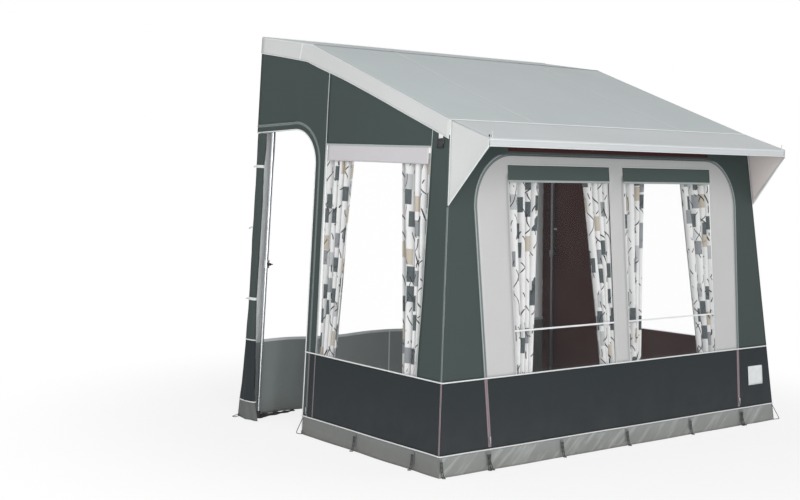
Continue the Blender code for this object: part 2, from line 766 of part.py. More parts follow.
def build_front_wall(parts):
    foot = BAND_TOP_HEIGHT + GAP
    top = EAVE_HEIGHT - CLOTH - SEAM_GAP
    outline = [(corner_x(foot), foot), (corner_x(top), top), (-corner_x(top), top), (-corner_x(foot), foot)]
    outline += arch_path(0, foot)
    cloth_piece("front_surround", [outline], front_place, "green_cloth", parts)

    outline = arch_path(-GAP, foot)
    for side in (1, -1):
        inner = FRONT_WINDOW_INNER if side > 0 else FRONT_WINDOW_OUTER
        outer = FRONT_WINDOW_OUTER if side > 0 else FRONT_WINDOW_INNER
        outline += [
            (side * outer, foot),
            (side * outer, FRONT_WINDOW_TOP),
            (side * inner, FRONT_WINDOW_TOP),
            (side * inner, foot),
        ]
    cloth_piece("front_panel", [outline], front_place, "pale_cloth", parts)

    pane_x = FRONT_WINDOW_OUTER + PANE_OVERLAP
    pane_top = FRONT_WINDOW_TOP + PANE_OVERLAP
    outline = [(-pane_x, foot), (pane_x, foot), (pane_x, pane_top), (-pane_x, pane_top)]
    behind = -CLOTH - GAP
    cloth_piece("front_pane", [outline], front_place, "clear_sheet", parts, thickness=PANE, out=behind)

    for name, side in SIDES:
        outline = [
            (side * FRONT_WINDOW_INNER, PELMET_FOOT),
            (side * FRONT_WINDOW_OUTER, PELMET_FOOT),
            (side * FRONT_WINDOW_OUTER, PELMET_TOP),
            (side * FRONT_WINDOW_INNER, PELMET_TOP),
        ]
        cloth_piece(
            name + "_pelmet",
            [outline],
            front_place,
            "green_cloth",
            parts,
            thickness=PELMET_THICKNESS,
            out=PELMET_THICKNESS + GAP,
        )

    low = MUD_FLAP_HEIGHT + GAP
    high = BAND_TOP_HEIGHT
    outline = [(-corner_x(low), low), (corner_x(low), low), (corner_x(high), high), (-corner_x(high), high)]
    cloth_piece("front_band", [outline], front_place, "charcoal_cloth", parts)
    high = MUD_FLAP_HEIGHT
    low = SEAM_GAP
    outline = [(-corner_x(low), low), (corner_x(low), low), (corner_x(high), high), (-corner_x(high), high)]
    cloth_piece("front_mud_flap", [outline], front_place, "mud_cloth", parts)

    zip_foot = MUD_FLAP_HEIGHT + ZIP_FOOT_CLEARANCE
    outer = arch_path(FRONT_ZIP_WIDTH / 2, zip_foot)
    inner = arch_path(-FRONT_ZIP_WIDTH / 2, zip_foot)
    cloth_piece(
        "front_arch_zip",
        [outer + inner[::-1]],
        front_place,
        "zip_tape",
        parts,
        thickness=FRONT_ZIP_THICKNESS,
        out=FRONT_ZIP_THICKNESS + GAP,
    )


def slider(name, centre, along, outward, parts):
    """A zip slider: a body on the tape with its pull hanging over the front of it."""
    matrix = pointing(outward, centre)
    axis_y = along - outward * along.dot(outward)
    axis_y.normalize()
    axis_x = axis_y.cross(outward)
    for row in range(3):
        matrix[row][0] = axis_x[row]
        matrix[row][1] = axis_y[row]
    middle = matrix.copy()
    middle.translation = centre + outward * SLIDER_THICKNESS / 2
    body = box(name, (SLIDER_WIDTH, SLIDER_LENGTH, SLIDER_THICKNESS), middle, "steel_tube", parts)
    body = replace_by_mesh(body, "steel_tube", parts)
    hang = matrix.copy()
    hang.translation = centre + outward * SLIDER_THICKNESS - axis_y * PULL_LENGTH * PULL_HANG_SHARE
    pull = box(name + "_pull", (PULL_WIDTH, PULL_LENGTH, PULL_THICKNESS), hang, "steel_tube", parts)
    return combine(body, [pull], "UNION", "steel_tube", parts)


def front_zip_line(side):
    """Start and end of the straight run of the front zip, on the tape's face."""
    face = FRONT_ZIP_THICKNESS + GAP + GAP
    low = MUD_FLAP_HEIGHT + ZIP_FOOT_CLEARANCE + SLIDER_REST_LIFT
    high = PANEL_TOP_HEIGHT - PANEL_CORNER_RADIUS
    start = front_place(side * panel_line_x(low), low, face)
    end = front_place(side * panel_line_x(high), high, face)
    return start, end


def door_zip_line():
    """Start and end of the straight run of the door zip, on the tape's face."""
    place = side_place(-1)
    face = (DOOR_ZIP_THICKNESS - CLOTH) / 2 + GAP + GAP
    low = MUD_FLAP_HEIGHT + SLIDER_REST_LIFT
    high = DOOR_TOP_FRONT - DOOR_CORNER_RADIUS
    middle = DOOR_STRIP_WIDTH + DOOR_ZIP_WIDTH / 2
    start = place(DOOR_EDGE_SHARE + middle / corner_depth(low), low, face)
    end = place(DOOR_EDGE_SHARE + middle / corner_depth(high), high, face)
    return start, end


def build_sliders(parts):
    for name, side in SIDES:
        start, end = front_zip_line(side)
        slider("front_" + name + "_zip_slider", start, (end - start).normalized(), front_normal(), parts)
    start, end = door_zip_line()
    share = DOOR_EDGE_SHARE + DOOR_STRIP_WIDTH / corner_depth(MUD_FLAP_HEIGHT)
    outward = side_normal(-1, share, MUD_FLAP_HEIGHT)
    slider("left_door_zip_slider", start, (end - start).normalized(), outward, parts)


def rafter_drop(depth):
    """How far a rafter's centre line lies below the roof's upper face.

    Its rear stretch passes under the bead, its front stretch lies close under the cloth.
    """
    under = CLOTH
    rise = ROOF_BREAK_HEIGHT - EAVE_HEIGHT
    run = EAVE_DEPTH - ROOF_BREAK_DEPTH
    if depth < ROOF_BREAK_DEPTH:
        under = BEAD_RADIUS
        rise = RAIL_HEIGHT - ROOF_BREAK_HEIGHT
        run = ROOF_BREAK_DEPTH
    return under + GAP + TUBE_RADIUS * math.hypot(rise, run) / run


def tube_height(depth):
    """Height of a rafter's centre line at a depth."""
    return roof_height(depth) - rafter_drop(depth)


def rafter_break_depth():
    """Where a rafter's two straight stretches meet under the roof's break."""
    flat = (ROOF_BREAK_HEIGHT - RAIL_HEIGHT) / ROOF_BREAK_DEPTH
    steep = (EAVE_HEIGHT - ROOF_BREAK_HEIGHT) / (EAVE_DEPTH - ROOF_BREAK_DEPTH)
    difference = rafter_drop(EAVE_DEPTH) - rafter_drop(0)
    return ROOF_BREAK_DEPTH - difference / (flat - steep)


def eave_tube_centre():
    """Depth and height of the tube that runs along the eave inside the front wall."""
    depth = EAVE_DEPTH
    for _ in range(DOOR_CORNER_STEPS):
        depth = corner_depth(tube_height(depth)) - CLOTH - SEAM_GAP - TUBE_RADIUS
    return depth, tube_height(depth)


def eave_tube_half_length():
    depth, height = eave_tube_centre()
    lean = (FRONT_FOOT_HALF_WIDTH - EAVE_HALF_WIDTH) / EAVE_HEIGHT
    return side_x(share_at(depth, height), height) - CLOTH - GAP - SEAM_GAP - TUBE_RADIUS * lean


def build_rafters(parts):
    eave_depth, eave_height = eave_tube_centre()
    half = eave_tube_half_length()
    ends = [at(side * half, eave_depth, eave_height) for _, side in SIDES]
    tube("eave_tube", ends, TUBE_RADIUS, parts)
    bend = rafter_break_depth()
    bend_height = roof_height(ROOF_BREAK_DEPTH) - rafter_drop(0)
    bend_height -= (bend - ROOF_BREAK_DEPTH) * (RAIL_HEIGHT - ROOF_BREAK_HEIGHT) / ROOF_BREAK_DEPTH
    slope = Vector((0, eave_depth - bend, eave_height - bend_height)).normalized()
    end_depth = eave_depth - slope.y * (TUBE_RADIUS + GAP)
    end_height = eave_height - slope.z * (TUBE_RADIUS + GAP)
    rafter_x = RAIL_HALF_WIDTH - RAFTER_INSET
    for name, x in (("left", -rafter_x), ("centre", 0), ("right", rafter_x)):
        rear_height = tube_height(0)
        points = [
            at(x, BRACKET_THICKNESS / 2, tube_height(BRACKET_THICKNESS / 2)),
            at(x, bend, bend_height),
            at(x, end_depth, end_height),
        ]
        rafter = tube(name + "_rafter", points, TUBE_RADIUS, parts)
        top = RAIL_HEIGHT - BEAD_RADIUS - GAP - BEAD_RADIUS
        low = rear_height - BRACKET_HEIGHT / 2
        size = (BRACKET_WIDTH, BRACKET_THICKNESS, top - low)
        middle = at(x, BRACKET_THICKNESS / 2, (top + low) / 2)
        plate = box(name + "_bracket", size, pointing((0, 0, 1), middle), "steel_tube", parts)
        plate = replace_by_mesh(plate, "steel_tube", parts)
        combine(rafter, [plate], "UNION", "steel_tube", parts)


def leg_lines():
    """Each leg's name, the ends of its centre line, its knob's side and the slope above it."""
    eave_depth, eave_height = eave_tube_centre()
    lines = []
    for name, side in SIDES:
        foot = at(side * (corner_x(0) - LEG_FOOT_INSET), corner_depth(0) - LEG_FOOT_INSET, 0)
        under = at(side * (corner_x(eave_height) - FRONT_LEG_INSET), eave_depth, eave_height)
        lines.append(("front_" + name, foot, under, Vector((0, 1, 0)), 0))
    height = tube_height(REAR_LEG_DEPTH)
    rafter_x = RAIL_HALF_WIDTH - RAFTER_INSET
    slope = (RAIL_HEIGHT - ROOF_BREAK_HEIGHT) / ROOF_BREAK_DEPTH
    for name, side in SIDES:
        foot_x = side_x(share_at(REAR_LEG_DEPTH, 0), 0) - REAR_LEG_INSET
        foot = at(side * foot_x, REAR_LEG_DEPTH, 0)
        under = at(side * rafter_x, REAR_LEG_DEPTH, height)
        lines.append(("rear_" + name, foot, under, Vector((0, -1, 0)), slope))
    return lines


def build_leg(name, foot, under, facing, slope, parts):
    """An upper tube with its clamp, a lower tube with its foot, and the clamp's knob."""
    axis = (under - foot).normalized()
    lean = math.hypot(axis.x, axis.y) / axis.z
    length = (under - foot).length - TUBE_RADIUS * (1 + lean + slope) - GAP
    collar = COLLAR_HEIGHT
    bore = TUBE_RADIUS - TUBE_WALL
    matrix = pointing(axis, foot)
    shoulder = collar + COLLAR_LENGTH
    profile = [
        (bore, length),
        (TUBE_RADIUS, length),
        (TUBE_RADIUS, shoulder),
        (COLLAR_RADIUS, shoulder),
        (COLLAR_RADIUS, collar),
        (bore, collar),
    ]
    turned(name + "_leg_tube", profile, True, matrix, "steel_tube", parts)

    outer = bore - GAP
    inner = outer - TUBE_WALL
    top = collar + LEG_INSERT_LENGTH
    foot_cut = FOOT_THICKNESS / 2
    profile = [(inner, top), (outer, top), (outer, foot_cut), (inner, foot_cut)]
    rod = turned(name + "_leg_slide", profile, True, matrix, "steel_tube", parts)
    rod = replace_by_mesh(rod, "steel_tube", parts)
    profile = [
        (0, FOOT_SOCKET_HEIGHT),
        (FOOT_SOCKET_RADIUS, FOOT_SOCKET_HEIGHT),
        (FOOT_SOCKET_RADIUS, FOOT_THICKNESS),
        (FOOT_RADIUS, FOOT_THICKNESS),
        (FOOT_RADIUS, 0),
        (0, 0),
    ]
    plate = turned(name + "_foot", profile, False, pointing((0, 0, 1), foot), "black_plastic", parts)
    plate = replace_by_mesh(plate, "black_plastic", parts)
    combine(rod, [plate], "UNION", "steel_tube", parts)

    centre = foot + axis * (collar + COLLAR_LENGTH / 2)
    outward = (facing - axis * facing.dot(axis)).normalized()
    base = centre + outward * (COLLAR_RADIUS + GAP)
    profile = [(0, KNOB_LENGTH), (KNOB_RADIUS, KNOB_LENGTH), (KNOB_RADIUS, 0), (0, 0)]
    knob = turned(name + "_clamp_knob", profile, False, pointing(outward, base), "black_plastic", parts)
    knob = replace_by_mesh(knob, "black_plastic", parts)
    wing_centre = base + outward * (KNOB_LENGTH - KNOB_WING_HEIGHT / 2 + PIN_RADIUS)
    size = (KNOB_WING_LENGTH, KNOB_WING_WIDTH, KNOB_WING_HEIGHT)
    wing = box(name + "_knob_wing", size, pointing(outward, wing_centre), "black_plastic", parts)
    combine(knob, [wing], "UNION", "black_plastic", parts)


def front_pole_centre():
    """Depth and height of the tube inside the canopy's hem."""
    depth = CANOPY_DEPTH - CLOTH - GAP - CANOPY_TUBE_RADIUS
    rise = EAVE_HEIGHT - CANOPY_HEIGHT
    run = CANOPY_DEPTH - EAVE_DEPTH
    drop = CLOTH + GAP + CANOPY_TUBE_RADIUS * math.hypot(rise, run) / run
    return depth, canopy_height(depth) - drop


def front_pole_half_length():
    depth, height = front_pole_centre()
    near = flap_place(1)(depth - CANOPY_TUBE_RADIUS, height + CANOPY_TUBE_RADIUS, -CLOTH)
    return near.x - SEAM_GAP


def pin_foot(side):
    depth, height = front_pole_centre()
    return at(side * (front_pole_half_length() - PIN_INSET), depth, height)


def build_canopy_poles(parts):
    depth, height = front_pole_centre()
    half = front_pole_half_length()
    ends = [at(side * half, depth, height) for _, side in SIDES]
    pole = tube("canopy_front_tube", ends, CANOPY_TUBE_RADIUS, parts)
    pins = []
    for name, side in SIDES:
        profile = [
            (0, CANOPY_TUBE_RADIUS + CLOTH + PIN_HEIGHT),
            (PIN_RADIUS, CANOPY_TUBE_RADIUS + CLOTH + PIN_HEIGHT),
            (PIN_RADIUS, 0),
            (0, 0),
        ]
        pin = turned(name + "_pin", profile, False, pointing((0, 0, 1), pin_foot(side)), "steel_tube", parts)
        pins.append(replace_by_mesh(pin, "steel_tube", parts))
    combine(pole, pins, "UNION", "steel_tube", parts)

    slope = Vector((0, CANOPY_DEPTH - EAVE_DEPTH, CANOPY_HEIGHT - EAVE_HEIGHT)).normalized()
    end_depth = depth - slope.y * (CANOPY_TUBE_RADIUS + GAP)
    end_height = height - slope.z * (CANOPY_TUBE_RADIUS + GAP)
    start_depth = EAVE_DEPTH + SEAM_GAP + CANOPY_TUBE_RADIUS / 2
    share = (end_depth - start_depth) / slope.y
    start_height = end_height - slope.z * share
    x = half - CANOPY_POLE_INSET
    for name, side in SIDES:
        points = [at(side * x, start_depth, start_height), at(side * x, end_depth, end_height)]
        tube(name + "_canopy_pole", points, CANOPY_TUBE_RADIUS, parts)


def folded_sheet(name, folds, rows, thickness, place, finish_name, parts):
    """A hanging sheet with vertical folds, a cosine wave across it.

    The place function takes a share across, a share down and the wave, which is 1 on each
    outer fold and 0 on each inner one.
    """
    work = bmesh.new()
    bmesh.ops.create_grid(work, x_segments=folds * STEPS_PER_FOLD, y_segments=rows, size=1)
    for vertex in work.verts:
        across = (vertex.co.x + 1) / 2
        down = (1 - vertex.co.y) / 2
        wave = (1 + math.cos(2 * math.pi * folds * across)) / 2
        vertex.co = place(across, down, wave)
    mesh = bpy.data.meshes.new(name)
    work.to_mesh(mesh)
    work.free()
    for polygon in mesh.polygons:
        polygon.use_smooth = True
    piece = keep(name, mesh, finish_name, parts)
    shell = piece.modifiers.new("thickness", "SOLIDIFY")
    shell.thickness = thickness
    shell.offset = 0


def curtain(name, edge, direction, top, widths, wall, face_out, lean, parts):
    """A gathered curtain, from its window's edge towards the middle, narrowed at its foot."""

    def place(across, down, wave):
        height = lerp(top, CURTAIN_FOOT_HEIGHT, down)
        width = lerp(widths[0], widths[1], down)
        out = face_out - CURTAIN_FOLD_DEPTH * (1 - wave) - lean * down
        return wall(edge(height) + direction * width * across, height, out)

    folded_sheet(name, CURTAIN_FOLDS, CURTAIN_ROWS, CURTAIN_THICKNESS, place, "curtain_cloth", parts)


def side_window_edges():
    """The side window's rear and front edges as depth from a height, inside a margin."""

    def rear(height):
        return SEAM_SHARE * corner_depth(height) + CURTAIN_MARGIN

    def front(height):
        share = lerp(
            WINDOW_FRONT_FOOT_SHARE,
            WINDOW_FRONT_TOP_SHARE,
            (height - BAND_TOP_HEIGHT) / (SIDE_WINDOW_TOP - BAND_TOP_HEIGHT),
        )
        return share * corner_depth(height) - CURTAIN_MARGIN

    return rear, front


def build_curtains(parts):
    widths = (FRONT_CURTAIN_TOP_WIDTH, FRONT_CURTAIN_FOOT_WIDTH)
    face = -(CLOTH + GAP + PANE + CURTAIN_CLEARANCE + CURTAIN_THICKNESS / 2)
    for name, side in SIDES:
        for part, edge_x, direction in (
            ("outer", FRONT_WINDOW_OUTER - CURTAIN_MARGIN, -side),
            ("inner", FRONT_WINDOW_INNER + CURTAIN_MARGIN, side),
        ):
            curtain(
                "front_" + name + "_" + part + "_curtain",
                lambda height, x=side * edge_x: x,
                direction,
                FRONT_CURTAIN_TOP,
                widths,
                front_place,
                face,
                0,
                parts,
            )
    wall = side_place(-1)
    widths = (SIDE_CURTAIN_TOP_WIDTH, SIDE_CURTAIN_FOOT_WIDTH)
    face = -(CLOTH + CURTAIN_CLEARANCE + CURTAIN_THICKNESS / 2)
    rear, front = side_window_edges()

    def by_depth(depth, height, out):
        return wall(share_at(depth, height), height, out)

    for name, edge, direction in (("rear", rear, 1), ("front", front, -1)):
        curtain(
            "left_window_" + name + "_curtain",
            edge,
            direction,
            SIDE_CURTAIN_TOP,
            widths,
            by_depth,
            face,
            CURTAIN_FOOT_LEAN,
            parts,
        )


def build_rear_strips(parts):
    """The padded strips against the wall, and the skirt that hangs between them."""
    for name, side in SIDES:

        def place(inset, height, out, side=side):
            return at(side * (rear_x(height) - inset), -out, height)

        outer = CLOTH + SEAM_GAP
        outline = [
            (outer, PAD_TOP_HEIGHT),
            (outer + PAD_WIDTH, PAD_TOP_HEIGHT),
            (outer + PAD_POINT_WIDTH, PAD_POINT_HEIGHT),
            (outer + PAD_FOOT_WIDTH, PAD_FOOT_HEIGHT),
            (outer, PAD_FOOT_HEIGHT),
        ]
        cloth_piece(name + "_rear_pad", [outline], place, "pale_cloth", parts, thickness=PAD_THICKNESS)

    def hang(across, down, wave):
        height = lerp(SKIRT_HEIGHT, 0, down)
        x = (rear_x(height) - SKIRT_SIDE_INSET) * lerp(-1, 1, across)
        fold = SKIRT_FOLD_DEPTH * lerp(SKIRT_TOP_FOLD_SHARE, 1, down)
        return at(x, PAD_THICKNESS + GAP + CLOTH / 2 + fold * (1 - wave), height)

    folded_sheet("draught_skirt", SKIRT_FOLDS, SKIRT_ROWS, CLOTH, hang, "skirt_cloth", parts)


def main():
    for old in list(bpy.data.objects):
        bpy.data.objects.remove(old)
    parts = bpy.data.collections.new("porch_awning")
    bpy.context.scene.collection.children.link(parts)
    build_roof(parts)
    for name, side in SIDES:
        build_side_wall(name, side, parts)
    build_closed_door(parts)
    build_rolled_door(parts)
    build_front_wall(parts)
    build_sliders(parts)
    build_rafters(parts)
    for name, foot, under, facing, slope in leg_lines():
        build_leg(name, foot, under, facing, slope, parts)
    build_canopy_poles(parts)
    build_curtains(parts)
    build_rear_strips(parts)


main()
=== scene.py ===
import math
from collections import namedtuple

import bmesh
import bpy
import numpy as np
from bpy.props import FloatProperty, FloatVectorProperty, IntProperty, PointerProperty
from mathutils import Matrix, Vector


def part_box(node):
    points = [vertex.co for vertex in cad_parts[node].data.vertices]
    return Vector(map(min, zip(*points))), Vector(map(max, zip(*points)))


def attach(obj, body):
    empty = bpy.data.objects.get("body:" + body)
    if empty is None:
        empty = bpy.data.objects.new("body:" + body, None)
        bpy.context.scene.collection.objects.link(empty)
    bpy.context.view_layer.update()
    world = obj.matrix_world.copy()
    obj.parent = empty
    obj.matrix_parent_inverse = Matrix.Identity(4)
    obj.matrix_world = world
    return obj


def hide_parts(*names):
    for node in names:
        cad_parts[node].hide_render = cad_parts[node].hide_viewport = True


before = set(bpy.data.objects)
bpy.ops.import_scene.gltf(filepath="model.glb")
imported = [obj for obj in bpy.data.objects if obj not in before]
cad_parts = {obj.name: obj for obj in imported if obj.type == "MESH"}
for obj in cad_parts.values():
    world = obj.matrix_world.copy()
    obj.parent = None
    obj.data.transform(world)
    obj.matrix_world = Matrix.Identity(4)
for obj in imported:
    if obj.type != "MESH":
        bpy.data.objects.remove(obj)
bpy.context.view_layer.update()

bl_info = {
    "name": "Porch awning cloth and finish",
    "version": (1, 0, 0),
    "blender": (4, 5, 0),
    "location": "View3D > Sidebar > Awning",
    "description": "Sews the cloth, trim and curtains of a porch awning onto its steel frame",
    "category": "Object",
}

TAU = 2 * math.pi
ROOM = "awning"

# Room and canopy, in metres: height, depth in front of the wall plane, half widths
RAIL_HEIGHT, RAIL_HALF_WIDTH = 2.40, 1.29
REAR_FOOT_HALF_WIDTH = 1.383
ROOF_BREAK_DEPTH, ROOF_BREAK_HEIGHT = 0.535, 2.334
EAVE_DEPTH, EAVE_HEIGHT, EAVE_HALF_WIDTH = 1.81, 1.883, 1.32
FRONT_FOOT_DEPTH, FRONT_FOOT_HALF_WIDTH = 2.005, 1.509
CANOPY_DEPTH, CANOPY_HEIGHT, CANOPY_HALF_WIDTH = 2.115, 1.789, 1.323
CANOPY_HEM, FLAP_TIP = 0.042, 1.426
MUD_TOP, BAND_TOP = 0.111, 0.4925
VALANCE_DROP, VALANCE_OVERLAP, VALANCE_OFF = 0.10, 0.02, 0.0035
CAD_CLOTH, GAP, SEAM_GAP = 0.002, 0.0003, 0.0006
REAR_CLEARANCE, BEAD_RADIUS = 0.001, 0.004
CANOPY_FOLD, SEAM_END, PIPING_OUT = 0.006, 0.004, 0.0033
MIDDLE_DEPTH = CANOPY_DEPTH / 2
FORWARD, UPWARD = np.array([0, -1.0, 0]), np.array([0, 0, 1.0])

# Meshing: the lift that shows which way is out, merging distance in metres and crease angle in degrees
LIFT, MERGE_DISTANCE, SHARP_ANGLE = 0.01, 0.00002, 40.0

# Side wall: shares of its depth, and heights
SEAM_SHARE, WINDOW_TOP_SHARE, WINDOW_FOOT_SHARE = 0.40, 0.917, 0.888
SIDE_WINDOW_TOP, WINDOW_HEAD_FOOT = 1.735, 1.640
DOOR_SHARE, DOOR_TOP, DOOR_TOP_REAR, DOOR_RADIUS = 0.345, 1.82, 1.796, 0.22
DOOR_STRIP, DOOR_ZIP, HINGE_DEPTH = 0.035, 0.012, 0.0035
DOOR_SPRING = DOOR_TOP - DOOR_RADIUS
DOOR_STEPS = (80, 24, 24)

# Front wall: the arched panel and its windows
PANEL_TOP, PANEL_TOP_X, PANEL_FOOT_X, PANEL_RADIUS = 1.71, 1.168, 1.129, 0.30
PANEL_SPRING, ARCH_CENTRE = PANEL_TOP - PANEL_RADIUS, PANEL_TOP_X - PANEL_RADIUS
WINDOW_INNER, WINDOW_OUTER, WINDOW_TOP = 0.064, 0.907, 1.60
PELMET_FOOT, PELMET_TOP = 1.562, 1.65
WHITE_TAPE_HEIGHT, SHEET_MARGIN = 0.733, 0.012
HEAD_STRIP_HALF_WIDTH, HEAD_STRIP_FOOT, HEAD_STRIP_TOP = 0.90, 1.7245, 1.868
PATCH_X, PATCH_HEIGHT = (1.24, 1.395), (0.25, 0.372)

# Pegging points along the foot of each wall
SIDE_PEGS = np.array([0.345, 0.62, 0.888, 1.0])
FRONT_PEGS = np.array([-1.509, -1.142, -0.563, 0.005, 0.61, 1.154, 1.509])
SHARE_PER_METRE = 0.5
STRAP_TOP, STRAP_FOOT, LADDER_TOP, LADDER_HALF_WIDTH, PEG_LEAN = 0.100, 0.030, 0.086, 0.0075, 0.22
LEG_TIE_HEIGHTS = (1.16, 1.56)

# Rolled door: stations up it, and at each its half depth, half thickness, rear edge and stand-off
ROLL_HEIGHTS = (0.0, 0.111, 0.30, 0.4925, 0.75, 1.20, 1.585, 1.70, 1.79)
ROLL_HALF_DEPTHS = (0.100, 0.080, 0.064, 0.047, 0.034, 0.038, 0.032, 0.040, 0.040)
ROLL_HALF_THICKNESSES = (0.030, 0.026, 0.024, 0.021, 0.018, 0.018, 0.017, 0.018, 0.016)
ROLL_REAR_DEPTHS = (0.0100, 0.0120, 0.0135, 0.0198, 0.0245, 0.0244, 0.0253, 0.0249, 0.0235)
ROLL_STAND_OFFS = (0.031, 0.026, 0.012, 0.009, 0.006, 0.006, 0.006, 0.006, 0.006)
TIE_HEIGHTS, TAB_HEIGHT, TIE_TAIL, TAB_LENGTH = (0.75, 1.585), 1.20, 0.012, 0.020
ROLL_TURN_STEPS, ROLL_HEART, ROLL_SEAM_TURN = 44, 0.32, 2.4

# Curtains: top height, widths at the top and foot
CURTAIN_FOOT = 0.455
FRONT_CURTAIN_TOP, OUTER_CURTAIN_WIDTHS, INNER_CURTAIN_WIDTHS = 1.63, (0.280, 0.150), (0.235, 0.118)
SIDE_CURTAIN_TOP, SIDE_CURTAIN_WIDTHS = 1.70, (0.27, 0.16)
CURTAIN_MARGIN, CURTAIN_LAP = 0.012, 0.008

# Rear strips and skirt
PAD_THICK, PAD_TOP, PAD_POINT, PAD_FOOT = 0.03, 2.28, 0.42, 0.15
PAD_WIDTH, PAD_POINT_WIDTH, PAD_FOOT_WIDTH, PAD_BODY = 0.145, 0.12, 0.075, 0.79
SKIRT_TOP, SKIRT_INSET, SKIRT_FOLD, THIN_CLOTH = 0.47, 0.022, 0.018, 0.0008
SKIRT_HALF_SPAN, SKIRT_TAPES = 1.34, (-0.68, -0.19, 0.35, 0.86)
GROUND_FLAP_X, GROUND_FLAP_WIDTHS = (-1.335, -1.02), (0.10, 0.03)

# The photograph's camera: place; yaw, pitch and roll in degrees; focal length, centre and frame in pixels
PHOTO_PLACE, PHOTO_TURN = (-6.3769, -6.2056, 1.6972), (-40.9001, -3.8073, 1.7055)
PHOTO_FOCAL, PHOTO_CENTRE, PHOTO_FRAME = 1386.2, (400.67, 245.17), (800, 500)
SENSOR_WIDTH = 36.0


def colour_of(red, green, blue):
    """Linear light of a colour given in display numbers from 0 to 255."""
    return tuple(((c / 255 + 0.055) / 1.055) ** 2.4 if c > 10 else c / 3294.6 for c in (red, green, blue))


def length(name, description, default):
    return FloatProperty(name=name, description=description, default=default, min=0.0, unit="LENGTH")


def paint(name, description, *display):
    return FloatVectorProperty(
        name=name, description=description, default=colour_of(*display), min=0.0, max=1.0, subtype="COLOR"
    )


class AwningSizes(bpy.types.PropertyGroup):
    cloth: length("Cloth", "Thickness of the wall and roof cloth", 0.001)
    clear: length("Clear sheet", "Thickness of the window sheet", 0.0005)
    piping: length("Piping", "Radius of the white piping", 0.004)
    seam: length("Seam cord", "Radius of the pale cord in the dividing seams", 0.003)
    zip_width: length("Zip", "Width of the zip tape", 0.022)
    tooth: length("Tooth", "Pitch of the zip teeth", 0.003)
    strap: length("Strap", "Width of the pegging straps", 0.022)
    thread: length("Thread", "Pitch of the weave", 0.0012)
    stitch: length("Stitch", "Length of one stitch and its gap", 0.006)
    billow: length("Billow", "How far the walls stand off flat", 0.0035)
    sag: length("Roof sag", "How far the roof sags between its rafters", 0.009)
    belly: length("Flap belly", "How far a flap bellies between its fixings", 0.006)
    gather: FloatProperty(name="Gather", description="Curtain's flat over its hung width", default=1.35, min=1)
    curtain_folds: IntProperty(name="Curtain folds", description="Folds across one curtain", default=4, min=1)
    roll_turns: FloatProperty(name="Roll turns", description="Turns of the rolled door", default=3.2, min=1)
    ladder_rungs: IntProperty(name="Rungs", description="Rungs of a pegging ladder", default=4, min=2)


class AwningColours(bpy.types.PropertyGroup):
    roof: paint("Roof", "Coated roof cloth", 196, 203, 203)
    canopy: paint("Canopy", "Coated canopy cloth", 206, 210, 211)
    pale: paint("Valance", "Pale side bands and flaps", 212, 214, 212)
    panel: paint("Front panel", "Light grey panel round the windows", 199, 199, 198)
    green: paint("Wall", "Dark green-grey wall cloth", 72, 82, 80)
    charcoal: paint("Lower band", "Charcoal band", 51, 56, 59)
    mud: paint("Mud flap", "Grey flap at the ground", 136, 139, 137)
    skirt: paint("Draught skirt", "Grey coated skirt", 132, 139, 138)
    lining: paint("Lining", "Dark maroon inside face", 72, 42, 42)
    white: paint("Piping", "White piping and ties", 236, 238, 238)
    cord: paint("Seam cord", "Pale grey seam cord", 172, 180, 178)
    zip: paint("Zip", "Zip tape", 140, 150, 151)
    zip_low: paint("Lower zip", "Zip tape on the dark band", 168, 140, 147)
    head: paint("Window head", "Strip over the side window", 206, 203, 206)
    rubber: paint("Rubber", "Pegging ladders", 60, 61, 62)
    print_dark: paint("Print dark", "Darkest blocks of the curtain print", 82, 92, 94)
    print_grey: paint("Print grey", "Grey blocks of the curtain print", 146, 150, 153)
    print_warm: paint("Print beige", "Beige blocks of the curtain print", 198, 188, 172)
    print_line: paint("Print line", "Fine lines of the curtain print", 34, 36, 38)


def sizes():
    return bpy.context.scene.awning_sizes


def colours():
    return bpy.context.scene.awning_colours


# Numbers and directions


def mix(start, end, share):
    """The value that lies a share of the way from start to end."""
    return start + (end - start) * share


def smooth(value, low, high):
    """A step from 0 at low to 1 at high: three squares less two cubes of the share between."""
    share = np.clip((value - low) / (high - low), 0, 1)
    return share * share * (3 - 2 * share)


def unit(vectors):
    """Vectors divided by their lengths."""
    return vectors / np.maximum(np.linalg.norm(vectors, axis=-1, keepdims=True), 1e-12)


def at(x, depth, height):
    """Points of the model's frame from x, depth in front of the wall plane and height."""
    x, depth, height = np.broadcast_arrays(x, depth, height)
    return np.stack([x, MIDDLE_DEPTH - depth, height], axis=-1).astype(float)


def runs(values, counts):
    """Numbers from each value to the next, in that many equal steps for each stretch."""
    parts = [np.linspace(a, b, n, endpoint=False) for a, b, n in zip(values, values[1:], counts)]
    return np.concatenate(parts + [[values[-1]]])


def edge(first, second):
    """A line on a surface from its two coordinates."""
    return np.stack(np.broadcast_arrays(first, second), axis=-1).astype(float)


def between(value, stops):
    """Share of the way between the two stops on either side of each value."""
    index = np.clip(np.searchsorted(stops, value) - 1, 0, len(stops) - 2)
    return np.clip((value - stops[index]) / (stops[index + 1] - stops[index]), 0, 1)


def grid_shares(columns, rows):
    """Shares from 0 to 1 across a grid, and down it."""
    return np.linspace(0, 1, columns)[None, :], np.linspace(0, 1, rows)[:, None]


# The room's outline


def roof_height(depth):
    """Two straight slopes that meet at the roof's break."""
    rear = mix(RAIL_HEIGHT, ROOF_BREAK_HEIGHT, depth / ROOF_BREAK_DEPTH)
    front = mix(ROOF_BREAK_HEIGHT, EAVE_HEIGHT, (depth - ROOF_BREAK_DEPTH) / (EAVE_DEPTH - ROOF_BREAK_DEPTH))
    return np.where(depth < ROOF_BREAK_DEPTH, rear, front)


